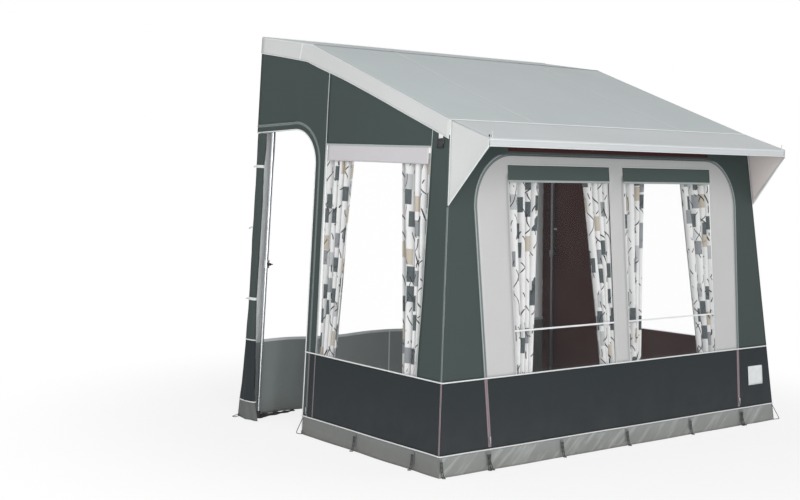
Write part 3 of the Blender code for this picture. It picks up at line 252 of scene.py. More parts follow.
def corner_depth(height):
    """Depth of the front wall, which leans out evenly towards its foot."""
    return mix(FRONT_FOOT_DEPTH, EAVE_DEPTH, height / EAVE_HEIGHT)


def corner_x(height):
    return mix(FRONT_FOOT_HALF_WIDTH, EAVE_HALF_WIDTH, height / EAVE_HEIGHT)


def rear_x(height):
    return mix(REAR_FOOT_HALF_WIDTH, RAIL_HALF_WIDTH, height / RAIL_HEIGHT)


def side_x(share, height):
    return mix(rear_x(height), corner_x(height), share)


def valance_x(depth, height):
    """Half width of the roof's edge: the side wall's, moved out by the valance."""
    return side_x(depth / corner_depth(height), height) + VALANCE_OFF


def gable_top(share):
    """Height where a side wall ends behind the valance, found by settling depth and height."""
    height = np.full(np.shape(share), EAVE_HEIGHT)
    for _ in range(8):
        height = roof_height(share * corner_depth(height)) - CAD_CLOTH - GAP - VALANCE_DROP + VALANCE_OVERLAP
    return height


def corner_end(height):
    """Share of its depth where a side wall stops behind the front wall's cloth."""
    return 1 - (CAD_CLOTH + SEAM_GAP) / corner_depth(height)


def window_front(height):
    """Share of the side window's slanting front edge."""
    return mix(WINDOW_FOOT_SHARE, WINDOW_TOP_SHARE, (height - BAND_TOP) / (SIDE_WINDOW_TOP - BAND_TOP))


DOOR_CENTRE = DOOR_SHARE * corner_depth(DOOR_SPRING) - DOOR_RADIUS


def door_share(height, offset):
    """Share of the doorway's edge moved out by an offset: upright, then a quarter circle."""
    radius = DOOR_RADIUS + offset
    rise = np.clip(height - DOOR_SPRING, 0, radius)
    arc = (DOOR_CENTRE + np.sqrt(radius * radius - rise * rise)) / corner_depth(height)
    return np.where(height > DOOR_SPRING, arc, DOOR_SHARE + offset / corner_depth(height))


def door_path(offset, foot, steps=(40, 16, 14)):
    """The doorway's edge from its foot, round its arc and back to the wall plane."""
    radius = DOOR_RADIUS + offset
    upright = np.linspace(foot, DOOR_SPRING, steps[0], endpoint=False)
    turn = np.linspace(0, TAU / 4, steps[1] + 1)
    arc = DOOR_SPRING + radius * np.sin(turn)
    back = np.linspace(0, 1, steps[2] + 1)[1:]
    level = mix(DOOR_TOP, DOOR_TOP_REAR, back) + offset
    return np.concatenate([
        edge(DOOR_SHARE + offset / corner_depth(upright), upright),
        edge((DOOR_CENTRE + radius * np.cos(turn)) / corner_depth(arc), arc),
        edge(mix(DOOR_CENTRE, REAR_CLEARANCE, back) / corner_depth(level), level),
    ])


def door_top(share):
    """Height of the doorway's head at a share, on its slant or on its arc."""
    height = np.full(np.shape(share), DOOR_TOP)
    for _ in range(12):
        depth = share * corner_depth(height)
        reach = np.clip(DOOR_RADIUS ** 2 - (depth - DOOR_CENTRE) ** 2, 0, None)
        slant = mix(DOOR_TOP_REAR, DOOR_TOP, depth / DOOR_CENTRE)
        height = np.where(depth < DOOR_CENTRE, slant, DOOR_SPRING + np.sqrt(reach))
    return height


def panel_x(height):
    """Half width of the arched panel: a straight taper, then a quarter circle."""
    line = mix(PANEL_FOOT_X, PANEL_TOP_X, (height - MUD_TOP) / (PANEL_SPRING - MUD_TOP))
    rise = np.clip(height - PANEL_SPRING, 0, PANEL_RADIUS)
    return np.where(height < PANEL_SPRING, line, ARCH_CENTRE + np.sqrt(PANEL_RADIUS ** 2 - rise * rise))


def panel_z(x):
    """Height of the arched panel's head at an x."""
    reach = np.clip(np.abs(x) - ARCH_CENTRE, 0, PANEL_RADIUS)
    return PANEL_SPRING + np.sqrt(PANEL_RADIUS ** 2 - reach * reach)


def arch_path(offset, foot, steps=(44, 16, 60)):
    """The arched panel's edge moved out by an offset, from its left foot to its right one."""
    radius = PANEL_RADIUS + offset
    upright = np.linspace(foot, PANEL_SPRING, steps[0], endpoint=False)
    turn = np.linspace(0, TAU / 4, steps[1] + 1)
    half = np.concatenate([
        edge(panel_x(upright) + offset, upright),
        edge(ARCH_CENTRE + radius * np.cos(turn), PANEL_SPRING + radius * np.sin(turn)),
    ])
    left = half * [-1, 1]
    level = edge(np.linspace(-ARCH_CENTRE, ARCH_CENTRE, steps[2] + 1)[1:-1], PANEL_TOP + offset)
    return np.concatenate([left, level, half[::-1]])


# Surfaces that cloth lies on


# A place for cloth: point lays two coordinates and a stand-off, flat measures them in metres
Surface = namedtuple("Surface", "point flat")


def side_billow(share, height):
    """Slow waves across a side wall and finer ones by its corner, gone at its edges, top and door zip."""
    calm = smooth(share, 0, 0.1) * smooth(1 - share, 0, 0.08) * smooth(gable_top(share) - height, 0, 0.3)
    calm = calm * smooth(np.abs(share - door_share(height, DOOR_STRIP + DOOR_ZIP / 2)), 0.008, 0.05)
    slow = np.sin(TAU * (1.7 * share + 0.25 * height)) + 0.5 * np.sin(TAU * (3.1 * share - 0.9 * height))
    fine = 0.5 * np.sin(TAU * (7 * share + 1.6 * height)) * smooth(share, 0.6, 0.95)
    return sizes().billow * calm * (slow + fine) * 0.6


def front_billow(x, height):
    """Slow waves across the front wall, gone at the corners, under the eave and along the arch zip's legs."""
    share = np.abs(x) / corner_x(height)
    calm = smooth(1 - share, 0, 0.07) * smooth(EAVE_HEIGHT - height, 0.05, 0.35)
    calm = calm * smooth(np.abs(np.abs(x) - panel_x(height)), 0.012, 0.09)
    slow = np.sin(TAU * (0.9 * x + 0.3 * height)) + 0.5 * np.sin(TAU * (1.9 * x - 0.55 * height + 0.2))
    fine = 0.4 * np.sin(TAU * (3.4 * x + 1.3 * height)) * smooth(share, 0.5, 0.9)
    return sizes().billow * calm * (slow + fine) * 0.6


def side_surface(side):
    """The ruled side wall: straight across and straight up, moved along its own normal."""

    def point(share, height, out):
        share, height, out = np.broadcast_arrays(share, height, out)
        level = np.zeros(np.shape(share))
        along = np.stack([side * (corner_x(height) - rear_x(height)), -corner_depth(height), level], -1)
        rear_lean = (RAIL_HALF_WIDTH - REAR_FOOT_HALF_WIDTH) / RAIL_HEIGHT
        corner_lean = (EAVE_HALF_WIDTH - FRONT_FOOT_HALF_WIDTH) / EAVE_HEIGHT
        depth_lean = (EAVE_DEPTH - FRONT_FOOT_DEPTH) / EAVE_HEIGHT
        up = np.stack([side * mix(rear_lean, corner_lean, share), -share * depth_lean, level + 1], -1)
        normal = unit(np.cross(along, up))
        normal = normal * np.sign(normal[..., :1] * side)
        base = at(side * side_x(share, height), share * corner_depth(height), height)
        return base + normal * (out + side_billow(share, height))[..., None]

    return Surface(point, lambda share, height: (share * corner_depth(height), height))


def front_point(x, height, out):
    """The flat leaning front wall, moved along its normal."""
    x, height, out = np.broadcast_arrays(x, height, out)
    normal = unit(np.array([0, -EAVE_HEIGHT, FRONT_FOOT_DEPTH - EAVE_DEPTH]))
    return at(x, corner_depth(height), height) + normal * (out + front_billow(x, height))[..., None]


def roof_point(share, depth, out):
    """The roof's two slopes, sagging by a squared sine between the rafters."""
    height = roof_height(depth)
    lane = np.clip(np.abs(share) * RAIL_HALF_WIDTH / 1.26, 0, 1)
    rear = np.sin(math.pi * np.clip(depth / ROOF_BREAK_DEPTH, 0, 1)) ** 2
    front = np.sin(math.pi * np.clip((depth - ROOF_BREAK_DEPTH) / (EAVE_DEPTH - ROOF_BREAK_DEPTH), 0, 1)) ** 2
    sag = sizes().sag * np.sin(math.pi * lane) ** 2 * (0.3 * rear + front)
    return at(share * valance_x(depth, height), depth, height + out - sag)


def valance_surface(side):
    """The band that hangs from the roof's edge: depth along it and its drop below the roof."""

    def point(depth, drop, out):
        depth, drop, out = np.broadcast_arrays(depth, drop, out)
        lean = 0.045 * drop / VALANCE_DROP * np.exp(-((depth - ROOF_BREAK_DEPTH) / 0.25) ** 2)
        height = roof_height(depth + lean) - CAD_CLOTH - GAP - drop
        wave = 0.0012 * (1 + np.sin(TAU * depth * 2.3)) * smooth(drop, 0.02, 0.1)
        return at(side * (valance_x(depth, height) + out + wave), depth, height)

    return Surface(point, lambda depth, drop: (depth, -drop))


def flap_surface(side):
    """The flat sheet through the eave's corner, the canopy's corner and the flap's tip."""
    first, second, third = np.array([
        (EAVE_DEPTH, EAVE_HEIGHT, valance_x(EAVE_DEPTH, EAVE_HEIGHT)),
        (CANOPY_DEPTH, CANOPY_HEIGHT, CANOPY_HALF_WIDTH + VALANCE_OFF),
        (corner_depth(FLAP_TIP), FLAP_TIP, corner_x(FLAP_TIP) + VALANCE_OFF),
    ])
    normal = np.cross(second - first, third - first)

    def point(depth, height, out):
        x = first[2] - (normal[0] * (depth - first[0]) + normal[1] * (height - first[1])) / normal[2]
        return at(side * (x + out), depth, height)

    return Surface(point, lambda depth, height: (depth, height))


SIDES = (("left", -1), ("right", 1))
WALL = {name: side_surface(side) for name, side in SIDES}
VALANCE = {name: valance_surface(side) for name, side in SIDES}
FLAP = {name: flap_surface(side) for name, side in SIDES}
FRONT = Surface(front_point, lambda x, height: (x, height))
ROOF = Surface(roof_point, lambda share, depth: (share * RAIL_HALF_WIDTH, -depth))


# Grids, bands and tubes


class Shape:
    """The grids that make one piece, the first perhaps given at once: points, quads and cloth coordinates."""

    def __init__(self, *grid, around=False):
        self.points, self.quads, self.flats = [], [], []
        self.count = 0
        if grid:
            self.grid(*grid, around)

    def grid(self, points, flat, facing, around=False):
        """Adds rows by columns of points. Quads face the way that facing points."""
        rows, columns = points.shape[:2]
        index = np.arange(rows * columns).reshape(rows, columns)
        if around:
            index = np.concatenate([index, index[:, :1]], axis=1)
        places = np.arange(index.size).reshape(index.shape)

        def corners(table):
            corner = [table[:-1, :-1], table[:-1, 1:], table[1:, 1:], table[1:, :-1]]
            return np.stack(corner, -1).reshape(-1, 4)

        quads, loops = corners(index), corners(places)
        spots = points.reshape(-1, 3)[quads]
        normal = np.cross(spots[:, 2] - spots[:, 0], spots[:, 3] - spots[:, 1])
        wanted = np.broadcast_to(facing, points.shape).reshape(-1, 3)[quads].mean(axis=1)
        if (normal * wanted).sum() < 0:
            quads, loops = quads[:, ::-1], loops[:, ::-1]
        self.points.append(points.reshape(-1, 3))
        self.quads.append(quads + self.count)
        self.flats.append(np.asarray(flat, float).reshape(-1, 2)[loops])
        self.count += rows * columns

    def flat_area(self):
        """Area of the quads in the cloth's own coordinates, by their diagonals' cross product."""
        flats = np.concatenate(self.flats)
        first, second = flats[:, 2] - flats[:, 0], flats[:, 3] - flats[:, 1]
        return float(np.abs(first[:, 0] * second[:, 1] - first[:, 1] * second[:, 0]).sum() / 2)

    def flat_size(self):
        flats = np.concatenate(self.flats).reshape(-1, 2)
        return [float(value) for value in np.ptp(flats, axis=0)]


def ruled(shape, surface, first, second, steps, out=0.0):
    """Adds cloth between two edges: each point lies a share of the way from one to the other."""
    share = np.linspace(0, 1, steps + 1)[:, None]
    a = mix(first[None, :, 0], second[None, :, 0], share)
    b = mix(first[None, :, 1], second[None, :, 1], share)
    points = surface.point(a, b, out)
    facing = surface.point(a, b, out + LIFT) - points
    shape.grid(points, edge(*surface.flat(a, b)), facing)


def laid(surface, path, out=0.0):
    """Points of a path on a surface, and the outward direction at each."""
    points = surface.point(path[:, 0], path[:, 1], out)
    return points, unit(surface.point(path[:, 0], path[:, 1], out + LIFT) - points)


def distances(points):
    """Length along a line from its start to each of its points."""
    return np.concatenate([[0], np.cumsum(np.linalg.norm(np.diff(points, axis=0), axis=1))])


def closed_rings(rings):
    """Rings with a row drawn to a point at each end, and the direction outwards from their middles."""
    middle = rings.mean(axis=1, keepdims=True)
    first, last = (np.broadcast_to(middle[end], rings[:1].shape) for end in (slice(0, 1), slice(-1, None)))
    rings = np.concatenate([first, rings, last])
    return rings, rings - np.concatenate([middle[:1], middle, middle[-1:]])


def carried(shape, points, outward, profile):
    """Adds a closed profile carried along a line, with closed ends.

    Each point is the line's own, plus the profile's side times the direction across and its rise times the
    direction out.
    """
    profile = np.asarray(profile, float)
    along = unit(np.gradient(points, axis=0))
    across = unit(np.cross(along, outward))
    rise = np.cross(across, along)
    rings = points[:, None] + profile[None, :, :1] * across[:, None] + profile[None, :, 1:] * rise[:, None]
    rings, facing = closed_rings(rings)
    run = distances(points)
    run = np.concatenate([run[:1], run, run[-1:]])
    side = np.concatenate([profile[:, 0], profile[:1, 0]])
    shape.grid(rings, edge(run[:, None], side[None, :]), facing, around=True)


def trim(shape, surface, path, out, profile):
    """Adds a profile carried along a path on a surface."""
    carried(shape, *laid(surface, path, out), profile)


def round_profile(radius, sides=8):
    turn = np.linspace(0, TAU, sides, endpoint=False)
    return np.stack([radius * np.cos(turn), radius * np.sin(turn)], -1)


def band_profile(width, thick, crown=0.3):
    """A flat band: its upper side rises by a crown share of its thickness in the middle."""
    side = np.linspace(-0.5, 0.5, 7)
    upper = np.stack([side * width, thick * (1 + crown * (1 - 4 * side * side))], -1)
    lower = np.stack([side[::-3] * width, np.zeros(3)], -1)
    return np.concatenate([upper, lower])


def zip_profile(width):
    """A zip: flat tape with a raised chain 5 mm wide along its middle."""
    half = width / 2
    side = np.array([-half, -0.0032, -0.0026, -0.0012, 0, 0.0012, 0.0026, 0.0032, half, half, 0, -half])
    rise = np.array([0.0007, 0.0008, 0.0018, 0.0026, 0.0028, 0.0026, 0.0018, 0.0008, 0.0007, 0, 0, 0])
    return np.stack([side, rise], -1)


THIN_CORD = round_profile(0.0022, 6)
SEAM_BAND = band_profile(0.012, 0.0006)
TIE_BAND = band_profile(0.012, 0.0012)
WELD_BAND = band_profile(0.010, 0.0008)


def linked(name, data):
    """A new object in the scene."""
    thing = bpy.data.objects.new(name, data)
    bpy.context.scene.collection.objects.link(thing)
    return thing


def smoothed(mesh):
    mesh.polygons.foreach_set("use_smooth", np.ones(len(mesh.polygons), bool))


def vertex_places(mesh):
    places = np.empty(len(mesh.vertices) * 3, np.float32)
    mesh.vertices.foreach_get("co", places)
    return places.reshape(-1, 3)


def make(name, shape, *finish_names, replaces=(), body=ROOM, thick=None):
    """Puts a shape into a mesh piece: doubles merged, wall given inwards, body given and the parts it stands in
    for hidden.
    """
    points, quads = np.concatenate(shape.points), np.concatenate(shape.quads)
    mesh = bpy.data.meshes.new(name)
    mesh.vertices.add(len(points))
    mesh.vertices.foreach_set("co", points.astype(np.float32).ravel())
    mesh.loops.add(quads.size)
    mesh.loops.foreach_set("vertex_index", quads.ravel().astype(np.int32))
    mesh.polygons.add(len(quads))
    mesh.polygons.foreach_set("loop_start", np.arange(0, quads.size, 4, dtype=np.int32))
    mesh.update(calc_edges=True)
    flats = np.concatenate(shape.flats).astype(np.float32)
    mesh.uv_layers.new(name="cloth").data.foreach_set("uv", flats.ravel())
    work = bmesh.new()
    work.from_mesh(mesh)
    bmesh.ops.remove_doubles(work, verts=work.verts, dist=MERGE_DISTANCE)
    bmesh.ops.dissolve_degenerate(work, edges=work.edges, dist=MERGE_DISTANCE / 4)
    work.to_mesh(mesh)
    work.free()
    smoothed(mesh)
    mesh.set_sharp_from_angle(angle=math.radians(SHARP_ANGLE))
    piece = linked(name, mesh)
    for finish_name in finish_names:
        mesh.materials.append(finish(finish_name))
    if thick:
        wall = piece.modifiers.new("wall", "SOLIDIFY")
        wall.thickness = thick
        wall.offset = -1
        wall.use_even_offset = True
        wall.material_offset = 1 if len(finish_names) > 1 else 0
    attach(piece, body)
    if replaces:
        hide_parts(*replaces)
    return piece


# What each cloth shows outside and inside, and its slot name
CLOTHS = {
    "roof": ("roof", "under", "roof_cloth"),
    "canopy": ("canopy", "under", "canopy_cloth"),
    "flap": ("pale", "flap_inside", "pale_cloth"),
    "valance": ("pale", "pale", "pale_cloth"),
    "wall": ("green", "lining", "green_cloth"),
    "door": ("door", "lining", "green_cloth"),
    "pelmet": ("pelmet", "green", "green_cloth"),
    "head_lining": ("lining", "lining", "green_cloth"),
    "panel": ("panel", "pale", "pale_cloth"),
    "window_head": ("head", "head", "pale_cloth"),
    "band": ("charcoal", "lining", "charcoal_cloth"),
    "side_mud_flap": ("mud", "mud", "mud_cloth"),
    "front_mud_flap": ("mud_front", "mud", "mud_cloth"),
    "clear": ("clear", "clear_sheet"),
    "patch": ("patch", "patch", "white_plastic"),
    "flange": ("flange", "flange", "pale_cloth"),
    "skirt": ("skirt", "skirt", "skirt_cloth"),
    "ground_flap": ("dark", "dark", "skirt_cloth"),
}


def sew(name, shape, cloth_name, held, rests_on, strip=None, thick=None, **settings):
    """Makes a piece in its cloth's finishes; for one that goes round an opening, its width as a strip of the
    length given is worked out as area over length.
    """
    *faces, slot = CLOTHS[cloth_name]
    piece = make(name, shape, *faces, thick=thick or sizes().cloth, **settings)
    area = shape.flat_area()
    width, height = (area / strip, strip) if strip else shape.flat_size()


def sew_panel(name, surface, parts, cloth_name, held, rests_on, **settings):
    """Sews cloth from parts of a surface, each given by its two edges, its steps and perhaps its stand-off."""
    shape = Shape()
    for part in parts:
        ruled(shape, surface, *part)
    sew(name, shape, cloth_name, held, rests_on, **settings)


def make_trim(name, finish_name, surface, rows, **settings):
    """Makes trim from rows on a surface, each a path, its stand-off and the profile carried along it."""
    shape = Shape()
    for row in rows:
        trim(shape, surface, *row)
    make(name, shape, finish_name, **settings)


# Finishes


def maths(operation, reflected=False):
    """An operator that adds a Math node, its two sides changed over where it is reflected."""
    if reflected:
        return lambda self, other: self.net.sum(operation, other, self)
    return lambda self, other=0.0: self.net.sum(operation, self, other)


class Wire:
    """A socket's value, so that shader maths reads as sums."""

    def __init__(self, net, socket):
        self.net = net
        self.socket = socket

    __add__ = __radd__ = maths("ADD")
    __mul__ = __rmul__ = maths("MULTIPLY")
    __sub__, __rsub__ = maths("SUBTRACT"), maths("SUBTRACT", True)
    __truediv__, __rtruediv__ = maths("DIVIDE"), maths("DIVIDE", True)
    __mod__, __abs__ = maths("FLOORED_MODULO"), maths("ABSOLUTE")
    __gt__, __lt__ = maths("GREATER_THAN"), maths("LESS_THAN")


class Net:
    """One material's nodes."""

    def __init__(self, name, tree=None):
        if tree is None:
            self.material = bpy.data.materials.new(name)
            self.material.use_nodes = True
            tree = self.material.node_tree
        tree.nodes.clear()
        self.tree = tree

    def places(self):
        """Object coordinates, then each of their three numbers."""
        place = self.add("ShaderNodeTexCoord", output="Object")
        return [place, *self.parts(place)]

    def object_place(self):
        return self.add("ShaderNodeTexCoord", output="Object")

    def cloth_place(self):
        return self.add("ShaderNodeTexCoord", output="UV")

    def add(self, kind, settings=None, inputs=None, output=0):
        """Adds a node: its settings first, then its sockets' values or links."""
        node = self.tree.nodes.new(kind)
        for key, value in (settings or {}).items():
            if key == "stops":
                while len(node.color_ramp.elements) < len(value):
                    node.color_ramp.elements.new(1.0)
                for element, (position, colour) in zip(node.color_ramp.elements, value):
                    element.position = position
                    element.color = opaque(colour)
            elif key == "interpolation":
                node.color_ramp.interpolation = value
            else:
                setattr(node, key, value)
        for key, value in (inputs or {}).items():
            if isinstance(value, Wire):
                self.tree.links.new(value.socket, node.inputs[key])
            else:
                node.inputs[key].default_value = value
        return Wire(self, node.outputs[output]) if len(node.outputs) else None

    def sum(self, operation, first, second=0.0):
        return self.add("ShaderNodeMath", {"operation": operation}, {0: first, 1: second})

    def sine(self, value):
        return self.sum("SINE", value)

    def smooth(self, value, low, high):
        """A smooth step of a value from 0 at low to 1 at high."""
        settings = {"interpolation_type": "SMOOTHSTEP"}
        return self.add("ShaderNodeMapRange", settings, {"Value": value, "From Min": low, "From Max": high})

    def blend(self, share, first, second):
        """A colour that lies a share of the way between two."""
        inputs = {0: share, 6: opaque(first), 7: opaque(second)}
        return self.add("ShaderNodeMix", {"data_type": "RGBA"}, inputs, output=2)

    def vary(self, share, colour, low, high):
        """A colour that a share moves from one shade of itself to another."""
        return self.blend(share, shade(colour, low), shade(colour, high))

    def noise(self, vector, scale, detail=2.0, rough=0.5):
        inputs = {"Vector": vector, "Scale": scale, "Detail": detail, "Roughness": rough}
        return self.add("ShaderNodeTexNoise", None, inputs)

    def stretched(self, vector, scale):
        """A vector with each axis scaled by its own number."""
        return self.add("ShaderNodeVectorMath", {"operation": "MULTIPLY"}, {0: vector, 1: scale})

    def parts(self, vector):
        """A vector's three numbers."""
        node = self.add("ShaderNodeSeparateXYZ", None, {0: vector}).socket.node
        return [Wire(self, output) for output in node.outputs]

    def surface(self, tone, rough, relief, strength, **inputs):
        """The material's shader; relief is a height in metres, and other sockets are named with underscores."""
        normal = self.add("ShaderNodeBump", None, {"Strength": strength, "Distance": 1.0, "Height": relief})
        sockets = {key.replace("_", " "): value for key, value in inputs.items()}
        sockets.update({"Base Color": tone, "Roughness": rough, "Normal": normal})
        shader = self.add("ShaderNodeBsdfPrincipled", None, sockets)
        self.add("ShaderNodeOutputMaterial", None, {"Surface": shader})
        return self.material


def numbers(colour):
    """A colour's three numbers, also where it is given by its name in the panel."""
    return tuple(getattr(colours(), colour) if isinstance(colour, str) else colour)


def opaque(value):
    """A colour with its alpha; anything else as it is."""
    if isinstance(value, Wire) or not hasattr(value, "__len__"):
        return value
    return (*numbers(value), 1.0)


def shade(colour, amount):
    """A colour made darker or lighter."""
    return tuple(min(1.0, max(0.0, channel * amount)) for channel in numbers(colour))


DUST = colour_of(150, 146, 138)
PACKING_PITCH, RIB_PITCH, TAPE_PITCH = 0.46, 0.0022, 0.0016


def woven(net, pitch):
    """Height of a plain weave: the product of two sines, one along each thread."""
    across, up, _ = net.parts(net.cloth_place())
    return net.sine(across * (TAU / pitch)) * net.sine(up * (TAU / pitch))


def folded_lines(net):
    """Faint lines that packing leaves in cloth: a grid whose lines wander with a noise."""
    place = net.cloth_place()
    across, up, _ = net.parts(place)
    drift = net.noise(place, 1.3) * 0.05
    lines = [1 - net.smooth(abs((way + drift) / PACKING_PITCH % 1.0 - 0.5), 0.0, 0.012) for way in (across, up)]
    return net.sum("MAXIMUM", *lines)


def cloth(name, colour, rough, crease=0.3, soil=0.0, crumple=1.0, gloss=0.25):
    """Coated woven cloth: thread, slow shade, packing creases, crumple, and dust near the ground."""
    net = Net(name)
    place, _, _, height = net.places()
    threads = woven(net, sizes().thread)
    lines = folded_lines(net)
    cloud = net.noise(place, 1.6, 3.0)
    grain = net.noise(place, 55.0, 2.0)
    tone = net.vary(cloud, colour, 0.93, 1.07)
    tone = net.blend(grain * 0.16, tone, shade(colour, 1.25))
    tone = net.blend((threads + 1) * 0.05, tone, shade(colour, 0.6))
    tone = net.blend(lines * (0.10 * crease), tone, shade(colour, 1.5))
    dust = (1 - net.smooth(height, 0.0, 0.5)) * net.noise(place, 9.0, 4.0) * soil
    tone = net.blend(dust, tone, DUST)
    crumpled = net.noise(net.stretched(place, (1.0, 1.0, 0.45)), 5.0, 3.0, 0.45)
    relief = threads * 0.00004 + lines * (0.0004 * crease) + crumpled * (0.006 * crumple) + grain * 0.0001
    return net.surface(tone, grain * 0.12 + (rough - 0.06), relief, 0.55, Specular_IOR_Level=gloss)


def coated(name, colour, rough=0.42, soil=0.5, wrinkle=1.0, gathers_and_highlights=0.0):
    """Soft plastic-coated cloth: a little gloss, wrinkles, scuffs, dirt at its foot, and slanting gathers with a
    painted highlight along them.
    """
    net = Net(name)
    place, x, _, height = net.places()
    cloud = net.noise(place, 3.0, 3.0)
    scuff = net.smooth(net.noise(net.stretched(place, (1.0, 1.0, 3.0)), 26.0, 4.0, 0.6), 0.58, 0.75)
    tone = net.vary(cloud, colour, 0.88, 1.1)
    tone = net.blend(scuff * 0.18, tone, shade(colour, 1.5))
    slant = net.add("ShaderNodeCombineXYZ", None, {0: x - height * 1.3, 1: height * 0.3})
    gather = net.smooth(net.noise(slant, 15.0, 2.0), 0.46, 0.70)
    # Painted highlight: the gathers are made lighter, as if they caught the light; their relief below is real.
    tone = net.blend(gather * gathers_and_highlights, tone, shade(colour, 1.7))
    dirt = (1 - net.smooth(height, 0.0, 0.12)) * net.noise(place, 20.0, 4.0) * soil
    tone = net.blend(dirt, tone, colour_of(112, 104, 92))
    folds = net.noise(net.stretched(place, (1.0, 1.0, 0.6)), 7.0, 2.0, 0.4)
    relief = folds * (0.014 * wrinkle) + net.noise(place, 240.0) * 0.00006 + gather * (0.008 * gathers_and_highlights)
    return net.surface(tone, scuff * 0.18 + rough, relief, 0.6, Specular_IOR_Level=0.4)


def printed(name):
    """Curtain print on white cloth: soft-cornered tiles in greys and beige, broken tendrils, and painted shade in
    the fold valleys.
    """
    net = Net(name)
    place = net.cloth_place()
    across, up, _ = net.parts(place)
    tiles = {"voronoi_dimensions": "2D", "distance": "CHEBYCHEV"}
    inputs = {"Vector": net.stretched(place, (0.72, 0.55, 1.0)), "Scale": 13.0, "Randomness": 0.7}
    reach = net.add("ShaderNodeTexVoronoi", tiles, inputs, output="Distance")
    chance = net.parts(net.add("ShaderNodeTexVoronoi", tiles, inputs, output="Color"))[0]
    white = (0.86, 0.86, 0.86)
    stops = [
        (0.0, "print_dark"), (0.26, "print_grey"), (0.42, "print_warm"), (0.58, white),
        (0.70, (0.52, 0.53, 0.54)), (0.80, "print_dark"), (0.88, white),
    ]
    tile = net.add("ShaderNodeValToRGB", {"stops": stops, "interpolation": "CONSTANT"}, {0: chance})
    inside = 1 - net.smooth(reach, 0.29, 0.32)
    tone = net.blend(inside, net.blend(net.noise(place, 40.0), (0.80, 0.80, 0.80), (0.87, 0.87, 0.86)), tile)
    drawn = 0.0
    for lean, pitch, bend in ((0.35, 0.052, 41.0), (-0.6, 0.071, 29.0)):
        drift = net.sine((up - across * lean) * bend) * 0.009
        line = 1 - net.smooth(abs((across + up * lean + drift) / pitch % 1.0 - 0.5), 0.040, 0.062)
        kept = net.noise(net.stretched(place, (1.0, 0.8, 1.0 + lean)), 17.0 + 9 * lean, 0.0) > 0.56
        drawn = net.sum("MAXIMUM", line * kept, drawn)
    tone = net.blend(drawn, tone, "print_line")
    # Painted shade: the colour darkens where the curtain's folds are deepest, read from the share stored on its
    # mesh.
    valley = net.add("ShaderNodeAttribute", {"attribute_name": "valley"}, output="Fac")
    tone = net.blend(net.smooth(valley, 0.15, 0.95) * 0.8, tone, net.blend(0.5, tone, (0.10, 0.10, 0.11)))
    threads = woven(net, sizes().thread * 0.7)
    tone = net.blend((threads + 1) * 0.03, tone, (0.3, 0.3, 0.3))
    relief = threads * 0.00003 + net.noise(net.stretched(place, (6.0, 1.0, 1.0)), 6.0) * 0.0012
    return net.surface(tone, 0.85, relief, 0.6, Specular_IOR_Level=0.2)


def glazing(name):
    """Clear window sheet: a thin haze, slow ripples, and gloss that grows at a glancing look."""
    net = Net(name)
    place = net.object_place()
    facing = net.add("ShaderNodeLayerWeight", None, {"Blend": 0.5}, output="Facing")
    haze = net.noise(place, 6.0, 3.0)
    ripple = net.noise(net.stretched(place, (1.0, 1.0, 0.5)), 3.2, 1.0)
    tone = net.blend(haze, (0.80, 0.83, 0.84), (0.92, 0.94, 0.94))
    alpha = net.sum("POWER", facing, 4.0) * 0.5 + haze * 0.008 + 0.003
    return net.surface(tone, haze * 0.08 + 0.04, ripple * 0.02, 0.35, Alpha=alpha)


def tape_cloth(name, colour, rough=0.55, rows=0.0):
    """Webbing or tape: ribs across it, and a row of stitches near each edge where rows is its width."""
    net = Net(name)
    place = net.object_place()
    along, side, _ = net.parts(net.cloth_place())
    ribs = net.sine(along * (TAU / RIB_PITCH))
    shadow = net.noise(place, 22.0, 3.0)
    tone = net.vary(shadow, colour, 0.86, 1.08)
    relief = ribs * 0.00012
    if rows:
        row = 1 - net.smooth(abs(abs(side) - (rows / 2 - 0.0025)), 0.0004, 0.0009)
        stitch = row * ((along / sizes().stitch % 1.0) < 0.68)
        tone = net.blend(row * 0.5, tone, shade(colour, 0.55))
        tone = net.blend(stitch, tone, shade(colour, 1.25))
        relief = relief + stitch * 0.0003 - row * 0.0002
    return net.surface(tone, shadow * 0.15 + rough, relief, 0.8, Specular_IOR_Level=0.3)


def vinyl(name, colour, rough=0.38):
    """Smooth soft plastic, slightly marked: piping and seam cord."""
    net = Net(name)
    place, _, _, height = net.places()
    marks = net.noise(place, 30.0, 4.0, 0.6)
    tone = net.vary(marks, colour, 0.9, 1.04)
    tone = net.blend((1 - net.smooth(height, 0.05, 0.3)) * marks * 0.3, tone, DUST)
    relief = net.noise(place, 90.0) * 0.0004
    return net.surface(tone, marks * 0.2 + rough, relief, 0.7)


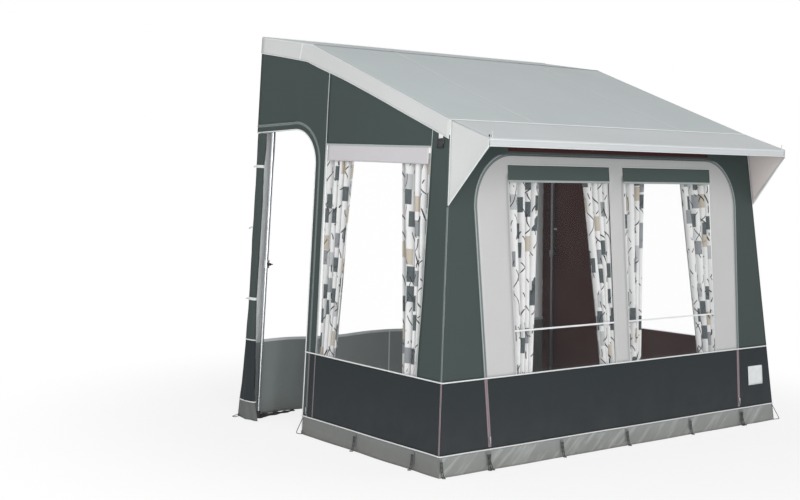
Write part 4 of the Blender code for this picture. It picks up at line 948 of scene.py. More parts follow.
def zipper(name, tape=("zip", "zip_low"), rails=None, spot=0.0085, inner=None, thin=0.0013):
    """Zip: woven tape with two rails of stitching, and teeth across the raised chain.

    Tape and rails are pairs of colours, over and in the dark band. Inner colours the tape's other half, and a
    zip with one turns wall green along its head, as painted shade under the canopy. Thin is half a rail's width.
    """
    net = Net(name)
    along, side, _ = net.parts(net.cloth_place())
    _, _, _, height = net.places()
    away = abs(side)
    low = net.smooth(height, BAND_TOP - 0.004, BAND_TOP + 0.004)
    rails = rails or (colour_of(58, 66, 65), colour_of(40, 44, 46))
    upper = tape[0]
    if inner:
        upper = net.blend(side > 0.0, upper, inner)
        # Painted shade: the zip's head under the canopy takes the dark wall green.
        upper = net.blend(net.smooth(height, PANEL_TOP - 0.012, PANEL_TOP - 0.004), upper, "green")
    base = net.blend(low, tape[1], upper)
    ribs = net.sine(along * (TAU / TAPE_PITCH)) * net.sine(side * (TAU / TAPE_PITCH))
    base = net.blend((ribs + 1) * 0.08, base, shade("zip", 0.5))
    chain = 1 - net.smooth(away, 0.0026, 0.0030)
    teeth = net.sine(along * (TAU / sizes().tooth) + (side > 0.0) * math.pi)
    metal = net.blend((teeth + 1) * 0.5, colour_of(70, 78, 79), colour_of(128, 136, 137))
    tone = net.blend(chain, base, metal)
    row = 1 - net.smooth(abs(away - spot), thin, thin + 0.0005)
    stitch = (along / sizes().stitch % 1.0) < 0.7
    tone = net.blend(row, tone, net.blend(low, rails[1], rails[0]))
    relief = chain * teeth * 0.0005 + row * stitch * 0.0002 + ribs * 0.00003
    return net.surface(tone, 0.62 - chain * 0.2, relief, 0.9)


def quilted(name, colour):
    """Padding cover: the weave runs with the model, over a slow shade and soft dimples."""
    net = Net(name)
    place, x, _, z = net.places()
    pitch = TAU / (sizes().thread * 1.3)
    threads = net.sine(x * pitch) * net.sine(z * pitch)
    dimple = net.noise(net.stretched(place, (1.0, 1.0, 0.6)), 26.0, 2.0)
    tone = net.vary(net.noise(place, 4.0, 3.0), colour, 0.92, 1.06)
    tone = net.blend((threads + 1) * 0.05, tone, shade(colour, 0.6))
    relief = threads * 0.00005 + dimple * 0.0016
    return net.surface(tone, dimple * 0.1 + 0.68, relief, 0.6, Specular_IOR_Level=0.25)


def galvanised(name, foot=False, painted_lightness=1.0):
    """Zinc-coated steel: faint crystals, fine drawn lines and dull patches. A leg's foot is black plastic. Painted
    lightness scales the steel's colours; below 1 it paints shade on it.
    """
    net = Net(name)
    place, _, _, height = net.places()
    cells = net.add("ShaderNodeTexVoronoi", None, {"Vector": place, "Scale": 190.0}, output="Color")
    crystals = net.parts(cells)[0]
    drawn = net.noise(net.stretched(place, (260.0, 260.0, 5.0)), 1.0, 2.0)
    dull = net.noise(place, 14.0, 3.0)
    tone = net.blend(crystals, shade((0.42, 0.44, 0.46), painted_lightness), shade((0.60, 0.62, 0.64), painted_lightness))
    tone = net.blend(net.smooth(dull, 0.5, 0.8) * 0.5, tone, shade((0.36, 0.37, 0.38), painted_lightness))
    rough = crystals * 0.1 + dull * 0.2 + 0.2
    relief = drawn * 0.00006
    metal = 1.0
    if foot:
        plate = 1 - net.smooth(height, 0.0445, 0.0455)
        tone = net.blend(plate, tone, net.blend(dull, (0.018, 0.018, 0.019), (0.04, 0.04, 0.042)))
        rough = rough + plate * 0.2
        metal = 1 - plate
    return net.surface(tone, rough, relief, 0.8, Metallic=metal)


def moulded(name, colour, rough=0.45):
    """Moulded plastic or rubber: a fine spark-eroded grain and a little dust."""
    net = Net(name)
    place = net.object_place()
    grain = net.noise(place, 900.0, 2.0)
    dust = net.noise(place, 40.0, 3.0)
    tone = net.vary(dust, colour, 0.85, 1.3)
    return net.surface(tone, dust * 0.15 + rough, grain * 0.00012 + dust * 0.0002, 0.8)


def by_height(name):
    """Door cloth in the wall's three bands: dark green, charcoal, then grey coated cloth at the ground."""
    net = Net(name)
    place, _, _, height = net.places()
    cloud = net.noise(place, 2.2, 3.0)
    threads = woven(net, sizes().thread)
    upper = net.smooth(height, BAND_TOP - 0.001, BAND_TOP + 0.001)
    lower = net.smooth(height, MUD_TOP - 0.001, MUD_TOP + 0.001)

    def toned(colour):
        return net.vary(cloud, colour, 0.92, 1.08)

    tone = net.blend(lower, toned(shade("mud", 0.62)), toned("charcoal"))
    tone = net.blend(upper, tone, toned("green"))
    tone = net.blend((threads + 1) * 0.05, tone, shade("green", 0.6))
    folds = net.noise(net.stretched(place, (2.0, 2.0, 0.5)), 9.0, 3.0)
    relief = threads * 0.00004 + folds * 0.004
    return net.surface(tone, lower * 0.25 + 0.45, relief, 0.6, Specular_IOR_Level=0.15)


FINISHES = {
    "roof": lambda: cloth("coated_roof_cloth", "roof", 0.6, crease=0.7, crumple=0.8),
    "canopy": lambda: cloth("coated_canopy_cloth", "canopy", 0.6, crease=0.5, crumple=0.7),
    "under": lambda: cloth("roof_underside", shade("roof", 0.9), 0.75, crease=0.4),
    "pale": lambda: cloth("pale_side_cloth", "pale", 0.68, crumple=0.6),
    "panel": lambda: cloth("front_panel_cloth", "panel", 0.68, soil=0.1, crumple=0.6),
    "green": lambda: cloth("green_wall_cloth", "green", 0.8, crease=0.6, soil=0.1, gloss=0.12),
    "charcoal": lambda: cloth("charcoal_band_cloth", "charcoal", 0.76, crease=0.4, soil=0.1, gloss=0.12),
    "lining": lambda: cloth("maroon_lining", "lining", 0.8, crease=0.2, soil=0.1, gloss=0.12),
    "head": lambda: cloth("window_head_cloth", "head", 0.7, crease=0.2, crumple=0.5),
    # One mud flap cloth in two tones of painted light: darker on the sides as painted shade, lighter at the front
    # as painted light.
    "mud": lambda: coated("mud_flap_coated_cloth", shade("mud", 0.8), wrinkle=1.5, gathers_and_highlights=0.06),
    "mud_front": lambda: coated("front_mud_flap_cloth", shade("mud", 1.12), wrinkle=1.5, gathers_and_highlights=0.6),
    "skirt": lambda: coated("skirt_coated_cloth", "skirt", 0.5, 0.3, wrinkle=1.3),
    # The padded strips' cover is painted lighter than its light grey cloth: painted light against the shade it
    # stands in.
    "pad": lambda: quilted("padded_strip_cover", colour_of(238, 241, 242)),
    "dark": lambda: coated("ground_flap_cloth", shade("charcoal", 0.6), 0.5, 0.35),
    "door": lambda: by_height("door_banded_cloth"),
    # The pelmet is the wall's green painted lighter: painted light against the shade of the canopy.
    "pelmet": lambda: cloth("pelmet_cloth", shade("green", 1.4), 0.8, gloss=0.12),
    # The flap's inner face has a pinkish tint of its own, made lighter as painted light shining through the flap.
    "flap_inside": lambda: cloth("flap_inner_face", colour_of(240, 229, 226), 0.7, crumple=0.6),
    # The rear right leg's steel is painted darker: painted shade and a painted dark reflection.
    "shaded_steel": lambda: galvanised("dull_galvanised_steel", True, 0.35),
    "print": lambda: printed("curtain_print"),
    "clear": lambda: glazing("clear_window_sheet"),
    "piping": lambda: vinyl("white_piping", "white"),
    "cord": lambda: vinyl("grey_seam_cord", "cord", 0.5),
    "binding": lambda: tape_cloth("white_binding", "white", rows=0.012),
    "seam_tape": lambda: tape_cloth("pale_seam_tape", "pale", 0.6, rows=0.012),
    "webbing": lambda: tape_cloth("white_webbing", "white", 0.6, rows=0.020),
    "strap": lambda: tape_cloth("grey_strap", shade("mud", 0.8), 0.6, rows=0.022),
    "flange": lambda: tape_cloth("white_flange", colour_of(214, 218, 219), 0.6),
    "patch": lambda: tape_cloth("bare_label_patch", "white", 0.5, rows=0.118),
    "hem": lambda: tape_cloth("light_hem", shade("canopy", 1.1), 0.5),
    "zip": lambda: zipper("coil_zip"),
    "arch_zip": lambda: zipper(
        "arch_zip", (colour_of(184, 192, 191), "zip_low"), (colour_of(76, 85, 84), colour_of(104, 100, 104)),
        inner=colour_of(138, 146, 146), thin=0.0009,
    ),
    "door_zip": lambda: zipper("door_zip", ("green", "charcoal"), ("cord", "zip_low"), 0.0045, thin=0.0007),
    "steel": lambda: galvanised("galvanised_steel"),
    "leg": lambda: galvanised("galvanised_leg_with_foot", True),
    "black": lambda: moulded("black_plastic", (0.02, 0.02, 0.022)),
    "bead": lambda: moulded("white_bead", colour_of(225, 226, 226), 0.4),
    "rubber": lambda: moulded("ladder_rubber", "rubber", 0.55),
}
MADE = {}


def finish(name):
    """The finish of that name, made when it is first asked for."""
    if name not in MADE:
        MADE[name] = FINISHES[name]()
    return MADE[name]


# Roof and canopy


def sew_roof():
    shares = np.linspace(-1, 1, 97)
    sew_panel("roof_cloth", ROOF, [
        (edge(shares, 2 * BEAD_RADIUS + GAP), edge(shares, ROOF_BREAK_DEPTH), 16),
        (edge(shares, ROOF_BREAK_DEPTH), edge(shares, EAVE_DEPTH), 44),
    ], "roof", "stretched", ["left_rafter", "centre_rafter", "right_rafter"], replaces=["roof_panel"])


def canopy_profile():
    """Depths and heights down the canopy: its slope, a rounded fold and its hanging hem."""
    depth = mix(EAVE_DEPTH + GAP, CANOPY_DEPTH - CANOPY_FOLD, np.linspace(0, 1, 15))
    height = mix(EAVE_HEIGHT, CANOPY_HEIGHT, (depth - EAVE_DEPTH) / (CANOPY_DEPTH - EAVE_DEPTH))
    turn = np.linspace(0.2, TAU / 4, 5)
    fold_depth = CANOPY_DEPTH - CANOPY_FOLD + CANOPY_FOLD * np.sin(turn)
    fold_height = height[-1] - CANOPY_FOLD * (1 - np.cos(turn)) * 0.9
    hem = np.linspace(fold_height[-1], CANOPY_HEIGHT - CANOPY_HEM, 6)[1:]
    depths = np.concatenate([depth, fold_depth, np.full(5, CANOPY_DEPTH)])
    return depths, np.concatenate([height, fold_height, hem])


def sew_canopy():
    """The canopy: it widens evenly towards its front and sags by a sine down it and a squared cosine across."""
    depth, height = canopy_profile()
    shares = np.linspace(-1, 1, 97)
    down = np.clip((depth - EAVE_DEPTH) / (CANOPY_DEPTH - EAVE_DEPTH), 0, 1)
    half = mix(valance_x(EAVE_DEPTH, EAVE_HEIGHT), CANOPY_HALF_WIDTH + VALANCE_OFF, down)
    sag = 0.5 * sizes().sag * np.sin(math.pi * down)[:, None] * np.cos(shares * math.pi / 2) ** 2
    run = distances(np.stack([depth, height], -1))
    x = half[:, None] * shares
    shape = Shape(at(x, depth[:, None], height[:, None] - sag), edge(x, -run[:, None]), FORWARD + UPWARD)
    sew("canopy_cloth", shape, "canopy", "stretched", ["canopy_front_tube"], replaces=["canopy_panel"])


def sew_flaps():
    """The flap at each end of the canopy, with its piping and hem; it bellies as a product of two parabolas."""
    inside = CANOPY_DEPTH - CAD_CLOTH - GAP
    line = EAVE_HEIGHT - CAD_CLOTH - GAP
    brow = CANOPY_HEIGHT - CAD_CLOTH - GAP
    top = np.array([(corner_depth(line) + SEAM_GAP, line - SEAM_GAP), (inside, brow)])
    low = np.array([(corner_depth(FLAP_TIP) + SEAM_GAP, FLAP_TIP), (inside, CANOPY_HEIGHT - CANOPY_HEM)])
    share, down = grid_shares(21, 19)
    belly = sizes().belly * 16 * (share * (1 - share)) * (down * (1 - down))
    first, second = (mix(pair[0], pair[1], share.T) for pair in (top, low))
    steps = np.linspace(0, 1, 25)[:, None]
    hem = mix(low, top, 0.045)
    hem = mix(hem[0], hem[1], np.linspace(0.06, 0.985, 25)[:, None])
    for name, flap in FLAP.items():
        sew_panel(name + "_flap_cloth", flap, [(first, second, 18, -belly * 0.6)],
                  "flap", "hung", ["canopy_front_tube", "eave_tube"], replaces=[name + "_canopy_flap"])
        make_trim(name + "_flap_piping", "piping", flap, [
            (mix(low[0], low[1], steps), 0.0005, round_profile(0.0032)),
            (mix(top[0], low[0], steps), 0.0005, round_profile(0.0022)),
        ])
        shape = Shape()
        for out, way in ((0.0003, 1), (-0.0014, -1)):
            points, outward = laid(flap, hem, out)
            carried(shape, points, way * outward, band_profile(0.013, 0.0008))
        make(name + "_flap_hem", shape, "seam_tape")


def sew_valances():
    depths = runs([REAR_CLEARANCE, ROOF_BREAK_DEPTH, EAVE_DEPTH], [14, 40])
    lean = edge(np.linspace(0.425, 0.410, 9), np.linspace(0.006, VALANCE_DROP - 0.004, 9))
    for name, valance in VALANCE.items():
        sew_panel(name + "_valance_cloth", valance, [(edge(depths, 0.0), edge(depths, VALANCE_DROP), 8)],
                  "valance", "hung", ["roof_cloth"], replaces=[name + "_valance"])
        make_trim(name + "_valance_hems", "binding", valance, [
            (edge(depths, VALANCE_DROP), 0.0, round_profile(0.0018, 6)),
            (edge(depths, 0.004), 0.0, THIN_CORD),
        ])
        make_trim(name + "_valance_seam", "binding", valance, [(lean, 0.0003, SEAM_BAND)])


def trim_roof():
    """Piping along the eave and the canopy's hem, and tapes over the roof's seams."""
    shape = Shape()
    shares = np.linspace(-1, 1, 97)
    trim(shape, ROOF, edge(shares, EAVE_DEPTH - 0.002), 0.0, round_profile(0.0035))
    x = shares * (CANOPY_HALF_WIDTH + VALANCE_OFF)
    carried(shape, at(x, CANOPY_DEPTH - 0.0012, CANOPY_HEIGHT - CANOPY_HEM), FORWARD, round_profile(0.0026))
    carried(shape, at(x, CANOPY_DEPTH - 0.0005, CANOPY_HEIGHT - 0.008), FORWARD, round_profile(0.0018, 6))
    make("canopy_piping", shape, "piping")
    depths = runs([0.02, ROOF_BREAK_DEPTH, EAVE_DEPTH - 0.01], [12, 36])
    make_trim("roof_seams", "hem", ROOF, [
        (edge(shares, ROOF_BREAK_DEPTH), 0.0003, band_profile(0.014, 0.0008)),
        (edge(-0.5, depths), 0.0002, SEAM_BAND),
        (edge(0.5, depths), 0.0002, SEAM_BAND),
    ])


# Side walls


def side_sheets(name, side):
    """Gables, window, lower band and mud flap of one side wall."""
    wall = WALL[name]
    outside = DOOR_STRIP + DOOR_ZIP + GAP if side < 0 else GAP
    foot = BAND_TOP + GAP
    columns = 10
    path = door_path(outside, foot)
    climb, turn, crown = path[:41], path[40:57], path[56:][::-1]
    level = np.linspace(crown[-1, 0], SEAM_SHARE, columns + 1)[1:]
    low = np.concatenate([crown, edge(level, crown[-1, 1])])
    sew_panel(name + "_rear_gable_cloth", wall, [
        (climb, edge(SEAM_SHARE, climb[:, 1]), columns),
        (turn, edge(SEAM_SHARE, turn[:, 1]), columns),
        (low, edge(low[:, 0], gable_top(low[:, 0])), 22),
    ], "wall", "stretched", [name + "_rafter"], strip=2.1, replaces=[name + "_rear_gable"])

    gable = name + "_front_gable_cloth"
    start = SEAM_SHARE + SEAM_GAP / corner_depth(EAVE_HEIGHT)
    shares = runs([start, WINDOW_TOP_SHARE, float(corner_end(SIDE_WINDOW_TOP))], [40, 7])
    heights = np.linspace(foot, SIDE_WINDOW_TOP, 61)
    sew_panel(gable, wall, [
        (edge(shares, SIDE_WINDOW_TOP), edge(shares, gable_top(shares)), 20),
        (edge(window_front(heights), heights), edge(corner_end(heights), heights), 7),
    ], "wall", "stretched", [name + "_rafter"], strip=2.2, replaces=[name + "_front_gable"])
    sew_panel(name + "_window_sheet", wall, [
        (edge(start, heights), edge(window_front(heights) - 0.0003, heights), 36, -0.0004),
    ], "clear", "stretched", [gable], replaces=[name + "_window"], thick=sizes().clear)

    heights = np.linspace(MUD_TOP + GAP, BAND_TOP, 21)
    sew_panel(name + "_band_cloth", wall, [
        (edge(DOOR_SHARE + outside / corner_depth(heights), heights), edge(corner_end(heights), heights), 64),
    ], "band", "stretched", [gable], replaces=[name + "_band"])

    shares = np.linspace(DOOR_SHARE, float(corner_end(0.0)), 81)
    sew_panel(name + "_mud_flap_cloth", wall, [
        (edge(shares, SEAM_GAP), edge(shares, MUD_TOP), 8, flap_belly(shares, SIDE_PEGS)),
    ], "side_mud_flap", "hung", [name + "_band_cloth"], replaces=[name + "_mud_flap"])


def flap_belly(places, pegs):
    """How far a mud flap stands off: a squared sine between its pegs, fading towards its top."""
    return np.sin(math.pi * between(places, pegs)) ** 2 * sizes().belly * np.linspace(1, 0, 9)[:, None]


def side_trim(name, side):
    """Seam cords, window bindings, head strip and corner zip of one side wall."""
    wall = WALL[name]
    seam = np.linspace(BAND_TOP + SEAM_END, float(gable_top(SEAM_SHARE)) - 0.029, 50)
    front = np.linspace(BAND_TOP + SEAM_END, SIDE_WINDOW_TOP, 50)
    above = np.linspace(SIDE_WINDOW_TOP, float(gable_top(0.93)) - 0.002, 8)
    shares = np.linspace(SEAM_SHARE, WINDOW_TOP_SHARE, 50)
    make_trim(name + "_seam_cords", "cord", wall, [
        (edge(SEAM_SHARE + 0.0002, seam), 0.0022, round_profile(sizes().seam)),
        (edge(window_front(front), front), 0.0004, THIN_CORD),
        (edge(WINDOW_TOP_SHARE + (above - SIDE_WINDOW_TOP) * 0.02, above), 0.0004, THIN_CORD),
        (edge(shares, SIDE_WINDOW_TOP), 0.0006, band_profile(0.010, 0.0012)),
    ])
    shares = shares[1:-1]
    sew_panel(name + "_window_head", wall, [
        (edge(shares * 0.9985, WINDOW_HEAD_FOOT), edge(shares, SIDE_WINDOW_TOP - 0.003), 8, 0.0012),
    ], "window_head", "hung", [name + "_front_gable_cloth"], thick=0.0007)

    low, high = MUD_TOP + 0.006, BAND_TOP - SEAM_END
    rows = [(SEAM_SHARE - 0.003, (low, high, 20), 0.0006, band_profile(0.008, 0.0010)),
            (0.9965, (low, high, 40), 0.0010, band_profile(0.011, 0.0012)),
            (0.9965, (BAND_TOP + SEAM_END, FLAP_TIP - 0.01, 40), 0.0010, band_profile(0.011, 0.0012))]
    if side < 0:
        rows.append((0.9955, (FLAP_TIP, EAVE_HEIGHT - 0.1, 24), 0.0010, band_profile(0.006, 0.0010)))
    rows = [(edge(share, np.linspace(*heights)), out, profile) for share, heights, out, profile in rows]
    make_trim(name + "_corner_zip", "zip", wall, rows)


def white_piping():
    """Piping along both seams of the lower bands, in one run round the three walls."""
    shape = Shape()
    share = np.linspace(DOOR_SHARE, 0.997, 60)
    for height in (MUD_TOP, BAND_TOP):
        reach = float(corner_x(height)) - 0.004
        left, right = (laid(wall, edge(share, height), PIPING_OUT) for wall in WALL.values())
        front = laid(FRONT, edge(np.linspace(-reach, reach, 121), height), PIPING_OUT)
        line = [np.concatenate([left[part], front[part], right[part][::-1]]) for part in (0, 1)]
        carried(shape, *line, round_profile(sizes().piping, 10))
    make("band_piping", shape, "piping")


# Doors


def door_sheets():
    """Strip, zip and piping round the open left doorway, and the closed right door."""
    wall = WALL["left"]
    inner, outer = (door_path(offset, MUD_TOP + GAP) for offset in (0.0, DOOR_STRIP - GAP))
    shares = np.linspace(0, 1, 5)[:, None]
    points = wall.point(mix(inner[:, 0], outer[:, 0], shares), mix(inner[:, 1], outer[:, 1], shares), 0.0)
    facing = wall.point(inner[:, 0], inner[:, 1], LIFT) - points[0]
    shape = Shape(points, edge(distances(points[2]), DOOR_STRIP * shares), facing[None])
    sew("left_door_edge_cloth", shape, "wall", "stretched", ["left_rear_gable_cloth"],
        replaces=["left_door_strip"])
    path = door_path(DOOR_STRIP + DOOR_ZIP / 2, MUD_TOP + 0.004, DOOR_STEPS)
    make_trim("left_door_coil", "door_zip", wall, [(path, -0.0002, zip_profile(sizes().zip_width))],
              replaces=["left_door_zip"])
    make_trim("left_door_piping", "piping", wall, [
        (door_path(0.001, 0.002, DOOR_STEPS), -0.0005, round_profile(sizes().piping, 10)),
    ])

    wall = WALL["right"]
    heights = np.linspace(SEAM_GAP, DOOR_SPRING, 70)
    hinge = HINGE_DEPTH / corner_depth(heights)
    shares = np.linspace(hinge[-1], float(door_share(DOOR_SPRING, -GAP)), 29)
    top = np.maximum(door_top(shares) - GAP, DOOR_SPRING)
    sew_panel("right_door_cloth", wall, [
        (edge(hinge, heights), edge(door_share(heights, -GAP), heights), 28),
        (edge(shares, DOOR_SPRING), edge(shares, top), 12),
    ], "door", "hung", ["right_rear_gable_cloth"], replaces=["right_door_panel"], body="right_door")
    rows = [(door_path(-0.006, 0.004, DOOR_STEPS)[:-1], 0.0006, round_profile(0.0036))]
    for height in (MUD_TOP, BAND_TOP):
        share = np.linspace(HINGE_DEPTH / 2, float(door_share(height, 0)) - 0.004, 30)
        rows.append((edge(share, height), PIPING_OUT, round_profile(sizes().piping)))
    make_trim("right_door_piping", "piping", wall, rows, body="right_door")
    make_trim("right_door_coil", "door_zip", wall, [
        (door_path(0.012, MUD_TOP + 0.004, DOOR_STEPS), 0.0004, zip_profile(sizes().zip_width)),
    ])


def bundle_ring(turn, height, scale=1.0, grow=0.0):
    """Share and stand-off of the rolled door's flattened round section at a height."""
    rows = (ROLL_HALF_DEPTHS, ROLL_HALF_THICKNESSES, ROLL_REAR_DEPTHS, ROLL_STAND_OFFS)
    half, thick, rear, off = (np.interp(height, ROLL_HEIGHTS, row) for row in rows)
    proud = (0.004 + 0.012 * smooth(0.2 - height, 0.0, 0.2)) * (1 + np.cos(turn)) * scale
    depth = rear + half + proud + (half * scale + grow) * np.cos(turn)
    return depth / corner_depth(height), off + (thick * scale + grow) * np.sin(turn)


def roll_door():
    """The left door wound into a flattened spiral that flares into folds at its foot.

    Its turns widen from the heart outwards, and sines along the turn and the height wrinkle and fold it.
    """
    wall = WALL["left"]
    turns = sizes().roll_turns
    turn = np.linspace(0.0, TAU * turns, int(ROLL_TURN_STEPS * turns))[None, :]
    stations = [0.0008, MUD_TOP, BAND_TOP, TIE_HEIGHTS[0], TIE_HEIGHTS[1], ROLL_HEIGHTS[-1]]
    height = runs(stations, [10, 26, 16, 40, 12])[:, None]
    tied = np.min([np.abs(height - place) for place in TIE_HEIGHTS], axis=0)
    slack = smooth(tied, 0.0, 0.12)
    flare = smooth(0.42 - height, 0.0, 0.40)
    scale = mix(ROLL_HEART, 1.0, np.clip(turn / (TAU * (turns - 0.8)), 0, 1) ** 0.8)
    wrinkle = slack * (0.0012 * np.sin(3 * turn + 9 * height) + 0.0009 * np.sin(7 * turn - 23 * height))
    fold = flare * (0.0050 * np.sin(5 * turn + 3 * height) + 0.0022 * np.sin(9 * turn - 14 * height))
    grow = wrinkle + fold - 0.0008 - 0.002 * flare
    share, out = bundle_ring(turn - TAU * turns + ROLL_SEAM_TURN, height, scale, grow)
    points = wall.point(share, height + 0 * turn, out)
    points[..., 2] = np.maximum(points[..., 2], 0.0006)
    shape = Shape(points, edge(distances(points[30]), height), points - points.mean(axis=1, keepdims=True))
    sew("left_door_rolled_cloth", shape, "door", "folded", ["left_rear_gable_cloth"],
        replaces=["left_door_roll"])


def tie_door():
    """White bands round the rolled door with their tails, a tab between them, and its two rows of piping."""
    wall = WALL["left"]
    loop = np.linspace(0, TAU, 49)
    shape = Shape()
    rows = np.linspace(-0.009, 0.009, 5)[:, None]
    for place in TIE_HEIGHTS:
        share, out = bundle_ring(loop[:-1], place, 1.0, 0.0018)
        points = wall.point(share[None, :], place + rows, out[None, :])
        facing = points - points.mean(axis=1, keepdims=True)
        shape.grid(points, edge(loop[None, :] * 0.04, rows), facing, around=True)
    tail = np.linspace(0, 1, 9)
    for place, long in (*((place, TIE_TAIL) for place in TIE_HEIGHTS), (TAB_HEIGHT, TAB_LENGTH)):
        start, out = bundle_ring(2.6, place, 1.0, 0.002)
        line = wall.point(start - 0.004 * tail, place - 0.5 * long * tail ** 2, out + long * tail)
        carried(shape, line, np.array([0, 1.0, 0.3]), TIE_BAND)
    make("left_door_ties", shape, "webbing", thick=0.0014)
    shape = Shape()
    for place in (MUD_TOP, BAND_TOP):
        share, out = bundle_ring(loop, place, 1.0, 0.0008)
        points = wall.point(share, place, out)
        carried(shape, points, unit(points - points.mean(axis=0)), round_profile(0.0038))
    make("left_door_roll_piping", shape, "piping")


# Front wall


def front_sheets():
    """Surround, arched panel, clear sheet, pelmets, lower band and mud flap."""
    foot = BAND_TOP + GAP
    heights = np.linspace(foot, PANEL_SPRING, 41)
    top = EAVE_HEIGHT - CAD_CLOTH - SEAM_GAP
    arch = arch_path(0.0, PANEL_SPRING, (1, 16, 60))[1:-1]
    share = np.linspace(0, 1, 9)
    climb = edge(mix(corner_x(PANEL_SPRING), corner_x(top), share), mix(PANEL_SPRING, top, share))
    level = edge(mix(corner_x(top), ARCH_CENTRE, share), top)[1:]
    right = np.concatenate([climb, level])
    middle = edge(np.linspace(-ARCH_CENTRE, ARCH_CENTRE, 61)[1:-1], top)
    rim = np.concatenate([right * [-1, 1], middle, right[::-1]])
    parts = [(edge(side * panel_x(heights), heights), edge(side * corner_x(heights), heights), 10)
             for _, side in SIDES]
    sew_panel("front_surround_cloth", FRONT, parts + [(arch, rim, 10)],
              "wall", "stretched", ["eave_tube"], strip=4.6, replaces=["front_surround"])

    reach = float(panel_x(WINDOW_TOP))
    xs = runs([-reach, -WINDOW_OUTER, -WINDOW_INNER, WINDOW_INNER, WINDOW_OUTER, reach], [7, 30, 4, 30, 7])
    heights = runs([foot, PANEL_SPRING, WINDOW_TOP], [36, 10])
    head = (edge(xs, WINDOW_TOP), edge(xs, np.maximum(panel_z(xs), WINDOW_TOP)), 6)
    legs = [(edge(side * WINDOW_OUTER, heights), edge(side * panel_x(heights), heights), 7)
            for _, side in SIDES]
    middle = (edge(-WINDOW_INNER, heights), edge(WINDOW_INNER, heights), 4)
    sew_panel("front_panel_cloth", FRONT, [head, *legs, middle],
              "panel", "stretched", ["front_surround_cloth"], replaces=["front_panel"])

    xs = np.linspace(-WINDOW_OUTER - SHEET_MARGIN, WINDOW_OUTER + SHEET_MARGIN, 91)
    sew_panel("front_window_sheet", FRONT, [(edge(xs, foot), edge(xs, WINDOW_TOP + SHEET_MARGIN), 40, -0.0022)],
              "clear", "stretched", ["front_panel_cloth"], replaces=["front_pane"], thick=sizes().clear)

    for name, side in SIDES:
        xs = side * np.linspace(WINDOW_INNER - 0.001, WINDOW_OUTER + 0.001, 41)
        lift = 0.0016 * (1 + np.sin(xs * 19))
        down = np.linspace(1, 0, 9)[:, None]
        sew_panel(name + "_pelmet_cloth", FRONT,
                  [(edge(xs, PELMET_FOOT), edge(xs, PELMET_TOP), 8, 0.0018 + lift[None, :] * down)],
                  "pelmet", "hung", ["front_panel_cloth"], replaces=[name + "_pelmet"])
        shape = Shape()
        outward = laid(FRONT, edge(xs, PELMET_FOOT))[1]
        carried(shape, FRONT.point(xs, PELMET_FOOT - 0.003, 0.0012 + lift), outward, TIE_BAND)
        make(name + "_pelmet_hem", shape, "cord")
        make_trim(name + "_pelmet_piping", "piping", FRONT, [
            (edge(xs, PELMET_TOP), 0.0024, round_profile(0.0020, 6)),
        ])

    xs = np.linspace(-1, 1, 121)
    low, high = MUD_TOP + GAP, BAND_TOP
    sew_panel("front_band_cloth", FRONT, [(edge(xs * corner_x(low), low), edge(xs * corner_x(high), high), 20)],
              "band", "stretched", ["front_panel_cloth"], replaces=["front_band"])
    xs = np.linspace(-1, 1, 161)
    low = xs * corner_x(0.0)
    sew_panel("front_mud_flap_cloth", FRONT, [
        (edge(low, SEAM_GAP), edge(xs * corner_x(MUD_TOP), MUD_TOP), 8, flap_belly(low, FRONT_PEGS)),
    ], "front_mud_flap", "hung", ["front_band_cloth"], replaces=["front_mud_flap"])


def front_trim():
    """Arch zip, window bindings, the white tapes across the windows, head lining and the bare patch."""
    path = arch_path(0.0, MUD_TOP + 0.012, (110, 30, 80))
    make_trim("front_arch_coil", "arch_zip", FRONT, [(path, 0.0002, zip_profile(sizes().zip_width))],
              replaces=["front_arch_zip"])
    heights = np.linspace(BAND_TOP + SEAM_END, PELMET_FOOT, 50)
    jambs = (-WINDOW_INNER, -WINDOW_OUTER, WINDOW_INNER, WINDOW_OUTER)
    make_trim("front_window_welds", "panel", FRONT, [(edge(x, heights), 0.0002, WELD_BAND) for x in jambs])
    xs = np.linspace(WINDOW_INNER, WINDOW_OUTER, 40)
    make_trim("front_window_tapes", "binding", FRONT, [
        (edge(side * xs, WHITE_TAPE_HEIGHT), -0.0010, band_profile(0.010, 0.0010)) for _, side in SIDES
    ])
    xs = np.linspace(-HEAD_STRIP_HALF_WIDTH, HEAD_STRIP_HALF_WIDTH, 61)
    sew_panel("front_head_strip", FRONT, [(edge(xs, HEAD_STRIP_FOOT), edge(xs, HEAD_STRIP_TOP), 8, 0.0012)],
              "head_lining", "stretched", ["front_surround_cloth"], thick=0.0007)
    x, height = np.linspace(*PATCH_X, 15)[None, :], np.linspace(*PATCH_HEIGHT, 9)[:, None]
    lift = 0.0012 + 0.0006 * np.sin(math.pi * np.linspace(0, 1, 9))[:, None]
    flat = edge(x - sum(PATCH_X) / 2, height - sum(PATCH_HEIGHT) / 2)
    shape = Shape(FRONT.point(x, height, lift), flat, FORWARD)
    sew("bare_label_patch", shape, "patch", "stretched", ["front_band_cloth"], thick=0.0008)


# Curtains


